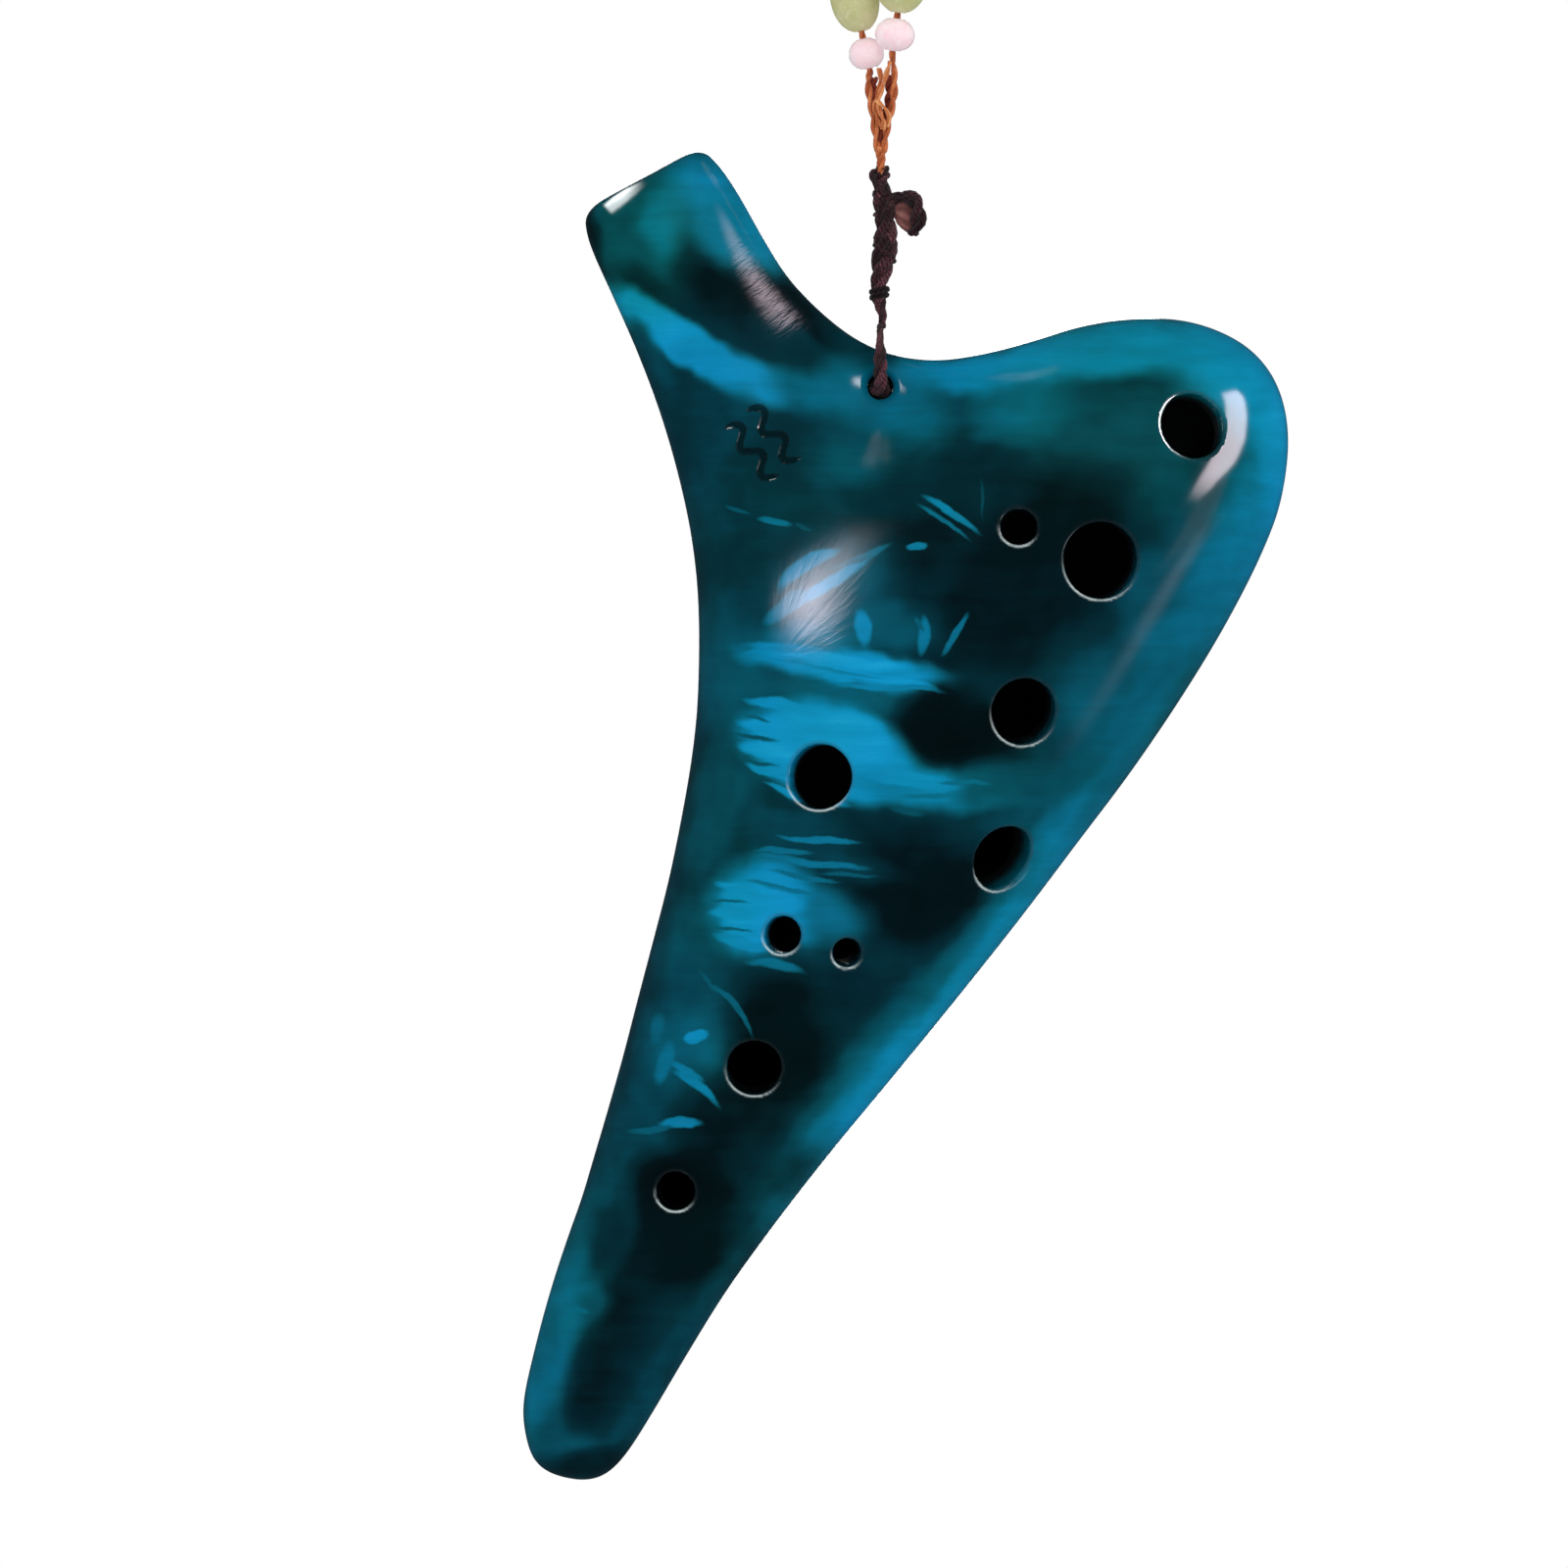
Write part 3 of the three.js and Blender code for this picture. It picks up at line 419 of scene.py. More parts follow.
def settle_on_surface(mesh):
    points = np.array([vertex.co for vertex in mesh.verts])
    for _ in range(4):
        slope = body_gradient(points)
        move = -slope * (body_at(points) / np.maximum((slope * slope).sum(1), 0.3))[:, None]
        length = np.linalg.norm(move, axis=1)
        points += move * np.minimum(1, 0.3 / np.maximum(length, 1e-9))[:, None]
    for vertex, place in zip(mesh.verts, points):
        vertex.co = place


def cut_half(whole, side):
    half = whole.copy()
    normal = (0, -side, 0)
    bmesh.ops.bisect_plane(half, geom=half.verts[:] + half.edges[:] + half.faces[:], dist=1e-5,
                           plane_co=(0, 0, 0), plane_no=normal, clear_outer=True)
    rim = [edge for edge in half.edges if len(edge.link_faces) == 1]
    bmesh.ops.triangle_fill(half, use_beauty=True, use_dissolve=False, edges=rim, normal=normal)
    return half


def build_halves():
    """The body as two bmeshes, front and back, parted at y = 0."""
    step = 0.62
    x, y, z = np.arange(-54.9, 55, step), np.arange(-25.5, 25.6, step), np.arange(-2, 185, step)
    x_grid, z_grid = np.meshgrid(x, z, indexing="ij")
    outer, cavity = ([part[:, None, :] for part in field(x_grid, z_grid)]
                     for field in (OUTER_FIELD, CAVITY_FIELD))
    values = body_distance(x_grid[:, None, :], y[None, :, None], z_grid[:, None, :],
                           outer, cavity)
    values = np.where(np.abs(values) < 1e-5, 1e-5, values)
    points, quads = surface_nets(values, np.array([x[0], y[0], z[0]]), step)
    data = bpy.data.meshes.new("body")
    data.from_pydata(points.tolist(), [], quads.tolist())
    whole = bmesh.new()
    whole.from_mesh(data)
    bpy.data.meshes.remove(data)
    refine_body(whole)
    settle_on_surface(whole)
    halves = [cut_half(whole, side) for side in (-1, 1)]
    whole.free()
    return halves


def rim_at(points):
    """1 on the turned-over edge of a hole, 0 away from it; a tenth of that at the lanyard."""
    rims = [(point, normal, radius, HOLE_RIM, 1.0) for point, normal, radius, _ in BORES]
    lanyard_y = skin_y(LANYARD[0] + 3.0, LANYARD[1])
    for side in (-1, 1):
        rims.append((np.array([LANYARD[0], side * lanyard_y, LANYARD[1]]),
                     np.array([0, side, 0.0]), LANYARD_RADIUS, 1.0, 0.1))
    result = np.zeros(len(points))
    for point, normal, radius, rim, strength in rims:
        rise, off = round_axis(*points.T, point, normal)
        edge = 1 - smoothstep(0.55 * rim, 1.15 * rim, off - radius)
        edge = edge * (1 - smoothstep(1.0, 1.6, -rise - 0.5 * radius))
        edge = edge * (off < radius + 2 * rim) * (np.abs(rise) < 3.5)
        result = np.maximum(result, edge * strength)
    return result


def add_attribute(data, name, values):
    attribute = data.attributes.new(name, "FLOAT", "POINT")
    attribute.data.foreach_set("value", np.asarray(values, np.float32))


def link_object(name, data):
    thing = bpy.data.objects.new(name, data)
    SCENE.collection.objects.link(thing)
    return thing


def finish_half(half, name, material):
    """The bmesh as an object in metres, with normals from the body's own surface."""
    points = np.array([vertex.co for vertex in half.verts])
    normals = body_gradient(points)
    normals /= np.maximum(np.linalg.norm(normals, axis=1), 1e-9)[:, None]
    for face in half.faces:
        face.smooth = True
    for vertex in half.verts:
        vertex.co = vertex.co * MM
    data = bpy.data.meshes.new(name)
    half.to_mesh(data)
    half.free()
    count = len(data.polygons)
    face_normals = np.zeros(count * 3)
    data.polygons.foreach_get("normal", face_normals)
    face_normals = face_normals.reshape(-1, 3)
    vertices = np.zeros(len(data.loops), np.int64)
    data.loops.foreach_get("vertex_index", vertices)
    corners = np.zeros(count, np.int64)
    data.polygons.foreach_get("loop_total", corners)
    owner = np.repeat(np.arange(count), corners)
    corner_normals = normals[vertices]
    # Flat caps on the seam, and faces the smooth normal disagrees with, keep their own normal.
    own = np.einsum("ij,ij->i", corner_normals, face_normals[owner]) < 0.35
    flat = np.ones(count, bool)
    np.logical_and.at(flat, owner, np.abs(points[vertices][:, 1]) < 1e-4)
    own |= flat[owner]
    corner_normals = np.where(own[:, None], face_normals[owner], corner_normals)
    data.normals_split_custom_set(corner_normals.tolist())
    depth = -skin_distance(points[:, 1], *OUTER_FIELD(points[:, 0], points[:, 2]))
    add_attribute(data, "skin", depth)
    add_attribute(data, "tone", tone(points))
    add_attribute(data, "rim", rim_at(points))
    half_object = link_object(name, data)
    data.materials.append(material)
    return half_object


# ---------------------------------------------------------------- noise for meshes and tones
RANDOM = np.random.default_rng(71)
SHUFFLE = np.concatenate([RANDOM.permutation(256)] * 3)
SLOPES = RANDOM.normal(size=(256, 3))
SLOPES /= np.linalg.norm(SLOPES, axis=1)[:, None]


def noise3(points):
    """Gradient noise with a cell of 1."""
    cell = np.floor(points).astype(int)
    inside = points - cell
    fade = inside * inside * inside * (inside * (inside * 6 - 15) + 10)
    total = 0.0
    for corner in itertools.product((0, 1), repeat=3):
        i, j, k = ((cell + corner) & 255).T
        slope = SLOPES[SHUFFLE[SHUFFLE[SHUFFLE[i] + j] + k]]
        weight = np.where(corner, fade, 1 - fade).prod(1)
        total = total + weight * (slope * (inside - corner)).sum(1)
    return total * 1.6


# ---------------------------------------------------------------- glaze clouds
# Soft clouds of the marbling on the front, painted one over the other: middle x and z, half
# length, half width, turn in degrees (rising to the right), tone (0 black, 1 brightest) and
# softness of the edge (0 hard, 1 a fade to the middle).
CLOUD_BASE = 0.3
CLOUDS = [
    # mouthpiece
    (-34.965, 171.45, 11.475, 9.45, 0, 0.4, 0.8), (-27.27, 177.93, 5.67, 5.13, -20, 0.68, 0.9),
    (-21.465, 172.125, 3.51, 8.37, 28, 0.74, 0.8), (-33.48, 172.53, 3.51, 4.59, 10, 0.66, 0.8),
    (-39.42, 173.88, 3.78, 2.7, 30, 0.4, 0.8), (-43.2, 170.1, 2.025, 6.48, 20, 0.16, 0.7),
    (-37.26, 167.67, 4.05, 3.78, 0, 0.42, 0.9), (-34.56, 163.35, 5.94, 2.7, -32, 0.26, 0.8),
    (-24.165, 163.35, 8.37, 4.59, -42, 0.15, 0.9), (-15.12, 160.65, 8.1, 3.51, -45, 0.14, 0.8),
    (-28.08, 156.33, 5.4, 1.35, -36, 0.22, 0.9),
    # bright bar below it
    (-31.59, 157.14, 11.34, 3.24, -37, 0.86, 0.34), (-24.3, 152.01, 8.37, 3.24, -30, 0.8, 0.5),
    (-35.37, 154.98, 5.4, 1.755, -62, 0.36, 0.8), (-15.12, 149.85, 5.4, 2.7, -15, 0.5, 0.9),
    # neck, shoulder and upper band
    (-15.12, 155.79, 6.75, 2.7, -38, 0.34, 0.9), (-7.56, 149.31, 8.1, 4.59, -10, 0.56, 0.9),
    (-25.11, 144.18, 6.21, 4.86, -20, 0.34, 0.9), (-28.62, 133.65, 4.32, 8.1, 10, 0.32, 0.9),
    (2.16, 150.93, 10.8, 2.7, 4, 0.62, 0.8), (19.71, 153.36, 17.55, 3.78, 9, 0.76, 0.7),
    (34.02, 155.79, 14.85, 4.05, 2, 0.7, 0.8), (45.09, 150.93, 8.1, 7.02, -30, 0.8, 0.8),
    (50.49, 139.05, 3.51, 16.2, 4, 0.84, 0.8), (45.63, 128.25, 5.4, 14.85, -14, 0.66, 0.9),
    (26.46, 144.45, 16.2, 5.4, 4, 0.4, 0.9), (4.86, 144.45, 12.15, 4.59, -4, 0.36, 0.9),
    (-16.74, 140.4, 8.1, 4.59, 0, 0.28, 0.9), (34.56, 133.65, 5.94, 8.91, -10, 0.4, 0.9),
    # the large dark ground across the middle
    (19.17, 128.25, 14.85, 11.34, 10, 0.13, 0.7), (10.26, 139.05, 7.56, 5.4, -20, 0.22, 0.9),
    (-3.24, 136.35, 9.45, 4.05, -20, 0.24, 0.9), (11.61, 117.45, 14.85, 8.64, 0, 0.15, 0.7),
    (1.485, 128.25, 8.1, 6.75, 0, 0.17, 0.9), (-25.515, 124.2, 4.59, 6.21, 0, 0.28, 0.9),
    (-25.515, 117.45, 3.51, 5.4, 0, 0.34, 0.9),
    # right flank
    (38.61, 117.45, 6.75, 13.5, -32, 0.56, 0.9), (30.51, 103.95, 5.94, 14.85, -36, 0.5, 0.8),
    (23.22, 109.35, 5.4, 6.75, -30, 0.3, 0.9), (19.71, 93.825, 7.56, 5.4, 30, 0.42, 0.9),
    # belly
    (-10.53, 122.04, 9.99, 5.94, 30, 0.46, 0.9), (-12.96, 116.37, 8.37, 2.97, 6, 0.66, 0.9),
    (-2.565, 117.45, 8.1, 3.51, -14, 0.44, 0.9), (-24.165, 110.7, 5.4, 9.45, 0, 0.44, 0.9),
    (-9.315, 108.54, 16.2, 2.7, -5, 0.46, 0.8), (-8.37, 112.32, 14.31, 2.565, -9, 0.84, 0.36),
    (6.885, 103.68, 8.91, 5.4, -16, 0.05, 0.6), (-11.07, 100.17, 12.42, 7.02, -12, 0.88, 0.3),
    (2.835, 95.445, 11.34, 2.97, -6, 0.68, 0.6), (11.61, 95.85, 5.4, 2.97, 6, 0.42, 0.9),
    (-24.84, 95.85, 4.05, 5.4, 0, 0.4, 0.9), (-15.39, 89.64, 10.8, 2.43, -5, 0.36, 0.8),
    (-26.865, 89.1, 3.51, 6.75, 0, 0.42, 0.9), (-2.565, 89.1, 8.1, 3.24, -10, 0.22, 0.9),
    (0.81, 81.675, 11.34, 8.37, 10, 0.11, 0.7), (-12.015, 85.32, 10.53, 2.16, -6, 0.34, 0.9),
    (-19.17, 78.03, 8.1, 7.02, 8, 0.84, 0.42), (-10.53, 77.49, 5.67, 4.05, -10, 0.56, 0.9),
    (-29.7, 73.575, 4.05, 7.02, -10, 0.4, 0.9), (-11.61, 70.2, 8.1, 2.97, -12, 0.38, 0.9),
    (-24.165, 68.85, 5.4, 3.51, 0, 0.36, 0.9),
    # below the belly
    (-17.415, 60.75, 8.1, 11.34, 0, 0.12, 0.7), (-7.29, 67.5, 6.75, 5.94, 20, 0.22, 0.9),
    (-30.24, 59.13, 5.94, 8.1, -12, 0.5, 0.8), (-35.37, 51.3, 4.59, 5.94, -10, 0.36, 0.9),
    (-28.62, 55.89, 3.51, 3.51, 0, 0.42, 0.9), (-35.64, 47.25, 5.94, 3.51, 0, 0.36, 0.8),
    (-24.165, 49.95, 8.1, 6.75, 0, 0.15, 0.8), (-31.59, 40.23, 9.45, 5.67, 10, 0.06, 0.7),
    (-30.24, 32.4, 8.91, 5.67, 30, 0.12, 0.8), (-38.34, 28.35, 4.59, 9.45, -14, 0.16, 0.9),
    (-18.09, 44.55, 5.4, 5.4, 0, 0.22, 0.9),
    # right edge: painted light, brighter where the surface turns towards the light on the right
    (12.285, 75.6, 22.95, 4.59, 51, 0.52, 0.9), (-2.565, 58.05, 21.6, 4.86, 50, 0.54, 0.9),
    (13.5, 73.98, 20.25, 2.97, 52, 0.76, 0.8), (-2.565, 54.675, 20.25, 3.51, 51, 0.82, 0.8),
    (-14.31, 41.85, 8.1, 2.43, 50, 0.54, 0.9), (22.41, 89.1, 9.45, 3.24, 52, 0.66, 0.9),
    (30.51, 99.9, 12.15, 1.89, 54, 0.54, 0.9), (-28.62, 22.95, 16.2, 2.16, 57, 0.34, 0.9),
    # tail
    (-42.39, 36.45, 4.05, 8.1, -18, 0.42, 0.9), (-45.765, 27, 4.05, 8.91, -14, 0.48, 0.9),
    (-49.815, 17.55, 4.05, 13.5, -10, 0.64, 0.9), (-41.715, 14.85, 4.86, 14.85, -26, 0.19, 0.9),
    (-43.74, 24.3, 2.7, 1.89, 0, 0.44, 1), (-47.52, 4.32, 6.21, 3.51, 0, 0.42, 0.9),
    (-36.315, 9.45, 2.43, 8.1, -30, 0.34, 0.9),
    # last touches
    (-0.54, 146.61, 6.21, 4.05, -6, 0.54, 0.9), (15.66, 146.88, 7.29, 4.05, 4, 0.54, 0.9),
    (-8.37, 139.86, 5.94, 4.59, 0, 0.42, 0.9), (25.38, 107.19, 4.59, 6.21, -34, 0.48, 0.9),
    (-15.93, 42.39, 4.59, 2.97, 50, 0.3, 0.9), (-42.12, 57.24, 2.97, 8.1, -14, 0.36, 0.9),
    (-41.31, 34.29, 2.97, 6.75, -16, 0.26, 0.9), (-49.68, 18.09, 2.43, 8.1, -10, 0.52, 0.9),
    (33.21, 122.85, 4.59, 6.75, -30, 0.4, 0.9), (-44.01, 2.16, 8.1, 2.16, 0, 0.16, 0.9),
    (-49.14, 6.48, 2.16, 4.05, 0, 0.4, 0.9), (-16.74, 156.33, 6.21, 2.97, -36, 0.26, 0.9),
    (-24.57, 172.53, 3.51, 5.94, 24, 0.66, 0.9), (-29.43, 145.8, 5.4, 4.05, -30, 0.3, 0.9),
]


def cloud_tone(x, z):
    result = np.full(len(x), CLOUD_BASE)
    for middle_x, middle_z, half_length, half_width, turn, value, softness in CLOUDS:
        cosine, sine = math.cos(math.radians(turn)), math.sin(math.radians(turn))
        along = ((x - middle_x) * cosine + (z - middle_z) * sine) / half_length
        across = ((z - middle_z) * cosine - (x - middle_x) * sine) / half_width
        off = np.sqrt(along * along + across * across)
        cover = 1 - smoothstep(1 - 0.8 * softness, 1 + 0.45 * softness + 0.06, off)
        result += (value - result) * cover
    return result


def tone(points):
    """Cloud value of the marbling; the back takes the clouds upside down and strays further."""
    def wander(scale, amount, seed):
        return np.array([noise3(points * scale + seed + 31.7 * k) * amount for k in range(2)])

    x, y, z = points.T
    near = wander(0.05, 1.215, 7.0) + wander(0.15, 0.81, 19.0) + wander(0.45, 0.351, 3.0)
    far = wander(0.016, 20.25, 90.0) + near
    front = cloud_tone(x + near[0], z - near[1])
    back = cloud_tone(x * 0.92 + 2.7 + far[0], 182 - z - far[1])
    share = smoothstep(-1, 8, y)
    result = front * (1 - share) + np.clip(back + 0.04, 0, 0.8) * share
    return result + 0.035 * noise3(points * 0.13 + 50) + 0.025 * noise3(points * 0.34 + 80)


# ---------------------------------------------------------------- node trees
class Value:
    """An output of a node; arithmetic on it adds math nodes."""

    def __init__(self, shader, socket):
        self.shader, self.socket = shader, socket

    def __add__(self, other):
        return self.shader.math("ADD", self, other)

    def __sub__(self, other):
        return self.shader.math("SUBTRACT", self, other)

    def __rsub__(self, other):
        return self.shader.math("SUBTRACT", other, self)

    def __mul__(self, other):
        return self.shader.math("MULTIPLY", self, other)

    def __truediv__(self, other):
        return self.shader.math("DIVIDE", self, other)

    def __abs__(self):
        return self.shader.math("ABSOLUTE", self)


class Shader:
    """Short ways to write the nodes of a material or a world."""

    def __init__(self, owner):
        self.owner = owner
        owner.use_nodes = True
        self.tree = owner.node_tree
        self.tree.nodes.clear()

    def node(self, kind, inputs=None, **settings):
        node = self.tree.nodes.new(kind)
        for key, setting in settings.items():
            setattr(node, key, setting)
        for key, value in (inputs or {}).items():
            if isinstance(value, Value):
                self.tree.links.new(value.socket, node.inputs[key])
            else:
                node.inputs[key].default_value = value
        return node

    def value(self, output, kind, inputs=None, **settings):
        return Value(self, self.node(kind, inputs, **settings).outputs[output])

    def math(self, operation, first, second=0.0, third=0.0):
        return self.value(0, "ShaderNodeMath", {0: first, 1: second, 2: third},
                          operation=operation)

    def multiply_add(self, first, second, third):
        return self.math("MULTIPLY_ADD", first, second, third)

    def vector(self, operation, first, second=(0, 0, 0)):
        output = "Value" if operation in ("DOT_PRODUCT", "LENGTH") else "Vector"
        return self.value(output, "ShaderNodeVectorMath", {0: first, 1: second},
                          operation=operation)

    def scaled(self, vector, factor):
        return self.value("Vector", "ShaderNodeVectorMath", {0: vector, "Scale": factor},
                          operation="SCALE")

    def place(self):
        """The point being shaded, in millimetres."""
        return self.scaled(self.value("Object", "ShaderNodeTexCoord"), 1000.0)

    def attribute(self, name, output="Fac"):
        return self.value(output, "ShaderNodeAttribute", attribute_name=name)

    def separate(self, vector):
        node = self.node("ShaderNodeSeparateXYZ", {0: vector})
        return [Value(self, socket) for socket in node.outputs]

    def combine(self, x, y, z):
        return self.value(0, "ShaderNodeCombineXYZ", {0: x, 1: y, 2: z})

    def mapped(self, vector, turn, scale):
        return self.value(0, "ShaderNodeMapping", {
            "Vector": vector, "Rotation": (0, math.radians(turn), 0), "Scale": scale})

    def oval(self, place, x, z, half_x, half_z):
        """0 at x, z, and 1 on the edge of an oval round it."""
        off = self.vector("SUBTRACT", place, (x, 0.0, z))
        return self.vector("LENGTH", self.vector("MULTIPLY", off, (1 / half_x, 0, 1 / half_z)))

    def noise(self, vector, scale, detail=3.0, rough=0.5, distort=0.0, output="Fac"):
        return self.value(output, "ShaderNodeTexNoise", {
            "Vector": vector, "Scale": scale, "Detail": detail, "Roughness": rough,
            "Distortion": distort})

    def ramp(self, value, stops):
        node = self.node("ShaderNodeValToRGB", {"Fac": value})
        elements = node.color_ramp.elements
        while len(elements) < len(stops):
            elements.new(0.5)
        for element, (position, colour) in zip(elements, stops):
            element.position = position
            element.color = colour
        return Value(self, node.outputs["Color"])

    def step(self, value, low, high, start=0.0, end=1.0):
        return self.value("Result", "ShaderNodeMapRange", {
            "Value": value, "From Min": low, "From Max": high, "To Min": start, "To Max": end,
        }, interpolation_type="SMOOTHSTEP")

    def mix_value(self, share, first, second):
        return self.value(0, "ShaderNodeMix", {0: share, 2: first, 3: second},
                          data_type="FLOAT")

    def mix_colour(self, share, first, second, blend="MIX"):
        return self.value(2, "ShaderNodeMix", {0: share, 6: first, 7: second},
                          data_type="RGBA", blend_type=blend)

    def bump(self, strength, distance, height, **normal):
        """distance is in metres; Normal may carry on from another bump."""
        inputs = {"Strength": strength, "Distance": distance, "Height": height, **normal}
        return self.value(0, "ShaderNodeBump", inputs)

    def output(self, kind, inputs, target="Material"):
        """Joins a shader node of this kind to the output."""
        self.node("ShaderNodeOutput" + target, {"Surface": self.value(0, kind, inputs)})
        return self.owner

    def principled(self, inputs):
        return self.output("ShaderNodeBsdfPrincipled", inputs)


def material_shader(name):
    return Shader(bpy.data.materials.new(name))


def srgb(*levels):
    """Linear colour, with alpha, of three levels from 0 to 255."""
    shares = [level / 255 for level in levels]
    return (*(c / 12.92 if c <= 0.04045 else ((c + 0.055) / 1.055) ** 2.4 for c in shares), 1)


# ---------------------------------------------------------------- glaze
# Crisp strokes of brighter glaze on the front: middle x and z, half length, half width, turn,
# tone, softness, and bend (how far the ends drop against the middle).
STROKES = [
    (-22.815, 133.38, 1.89, 0.324, -20, 0.46, 0.8, 0),
    (-17.685, 131.49, 2.565, 0.594, -12, 0.62, 0.7, 0),
    (-13.77, 130.815, 1.35, 0.351, -18, 0.4, 0.9, 0),
    # the leaf shapes over the belly
    (-13.77, 125.955, 5.67, 1.215, 34, 0.72, 0.6, 1.215),
    (-10.53, 123.12, 8.91, 1.0125, 32, 0.78, 0.8, -0.54),
    (-5.94, 126.765, 4.59, 0.54, 22, 0.56, 0.8, -0.405),
    (-16.74, 120.015, 4.05, 1.35, 36, 0.66, 0.8, 0),
    (-6.345, 117.45, 1.215, 2.7, 8, 0.78, 0.7, 0), (1.35, 127.98, 1.62, 0.621, 6, 0.66, 0.6, 0),
    # twin strokes and the fine upright line
    (6.21, 132.57, 4.86, 0.621, -33, 0.7, 0.7, 0), (5.13, 131.49, 4.59, 0.405, -35, 0.58, 0.8, 0),
    (10.125, 134.865, 0.27, 2.835, 0, 0.36, 0.9, 0),
    # the two flicks
    (2.16, 115.83, 0.8775, 2.97, -3, 0.66, 0.7, 0), (6.615, 116.1, 0.621, 3.78, -30, 0.6, 0.7, 0),
    (1.485, 117.315, 0.432, 1.35, 24, 0.5, 0.8, 0),
    # band
    (-9.99, 113.13, 12.69, 1.08, -8, 0.94, 0.7, 0), (-4.59, 110.7, 9.99, 0.621, -12, 0.9, 0.7, 0),
    (-16.74, 114.21, 5.94, 0.675, 4, 0.8, 0.8, 0),
    (-12.69, 111.915, 10.8, 0.324, -8, 0.74, 0.9, 0),
    (-2.565, 109.08, 8.37, 0.486, -5, 0.74, 0.8, 0),
    # patch with its jagged left tips
    (-16.74, 106.38, 5.94, 0.945, -12, 0.86, 0.6, 0),
    (-18.09, 103.68, 5.4, 1.215, -6, 0.9, 0.6, 0), (-18.9, 100.71, 4.59, 1.215, -6, 0.92, 0.6, 0),
    (-18.09, 97.74, 4.05, 0.945, -16, 0.84, 0.6, 0),
    (-20.52, 104.895, 2.16, 0.297, -20, 0.5, 0.9, 0),
    (-20.52, 102.33, 3.51, 0.324, -6, 0.44, 0.9, 0),
    (-20.115, 98.955, 2.97, 0.351, -10, 0.46, 0.9, 0),
    (-6.615, 102.33, 5.4, 3.51, -34, 0.93, 0.7, 0), (-0.54, 96.93, 8.91, 1.35, -8, 0.8, 0.7, 0),
    (-12.69, 94.23, 5.67, 0.81, -14, 0.8, 0.7, 0), (-15.93, 95.04, 3.78, 0.486, -20, 0.82, 0.7, 0),
    (0.135, 92.34, 2.7, 0.675, -10, 0.42, 0.9, 0), (3.24, 94.5, 4.59, 0.405, 4, 0.6, 0.8, 0),
    (8.235, 96.255, 4.05, 0.405, -2, 0.56, 0.9, 0),
    # streaks under it
    (-11.88, 88.155, 6.21, 0.594, -6, 0.66, 0.7, 0), (-16.74, 86.67, 4.32, 0.486, -2, 0.6, 0.7, 0),
    (-12.69, 85.05, 8.37, 0.54, -8, 0.62, 0.7, 0), (-14.04, 83.295, 5.4, 0.432, -10, 0.56, 0.8, 0),
    (-16.74, 81.675, 5.94, 0.459, -10, 0.6, 0.8, 0),
    (-7.83, 83.295, 4.59, 0.324, -6, 0.46, 0.9, 0),
    # second patch
    (-19.17, 79.92, 5.94, 2.16, -8, 0.9, 0.7, 0), (-21.06, 76.41, 4.05, 2.43, -4, 0.88, 0.7, 0),
    (-22.41, 81.54, 3.51, 0.675, -14, 0.86, 0.7, 0), (-23.49, 78.3, 3.24, 0.945, -6, 0.84, 0.7, 0),
    (-22.68, 74.25, 3.78, 0.945, -20, 0.8, 0.7, 0), (-18.09, 70.875, 4.59, 0.81, -12, 0.6, 0.8, 0),
    (-24.165, 79.92, 3.24, 0.27, -6, 0.52, 0.9, 0), (-23.76, 76.14, 2.97, 0.27, -6, 0.5, 0.9, 0),
    # curved flicks lower down
    (-24.03, 65.61, 5.67, 0.459, -52, 0.5, 0.7, 0.675),
    (-27.27, 69.12, 2.16, 0.351, -60, 0.46, 0.8, 0), (-29.025, 61.02, 2.025, 1.08, 8, 0.84, 0.6, 0),
    (-28.62, 54.54, 4.32, 0.729, -36, 0.74, 0.7, 0.54),
    (-30.24, 56.43, 3.24, 0.675, -30, 0.7, 0.8, 0), (-31.05, 49.545, 3.24, 0.81, 4, 0.72, 0.6, 0),
    (-35.1, 48.6, 3.51, 0.54, 6, 0.5, 0.8, 0), (-33.48, 57.78, 1.35, 3.24, -14, 0.62, 0.8, 0),
    (-34.56, 62.64, 1.08, 2.43, -14, 0.54, 0.9, 0), (-45.09, 24.57, 2.16, 0.54, -14, 0.56, 0.9, 0),
]


def paint_strokes(shader, place, front, tones):
    for x, z, half_length, half_width, turn, value, softness, bend in STROKES:
        cosine, sine = math.cos(math.radians(turn)), math.sin(math.radians(turn))
        axis = (cosine / half_length, 0, sine / half_length)
        along = shader.vector("DOT_PRODUCT", place, axis) + -(x * cosine + z * sine) / half_length
        axis = (-sine / half_width, 0, cosine / half_width)
        across = shader.vector("DOT_PRODUCT", place, axis) + -(z * cosine - x * sine) / half_width
        if bend:
            across = shader.multiply_add(along * along, bend / half_width, across)
        square = shader.multiply_add(along, along, across * across)
        cover = shader.step(square, 1.0 + 0.25 * softness, max(0.0, 1.0 - softness)) * front
        tones = shader.mix_value(cover, tones, value)
    return tones


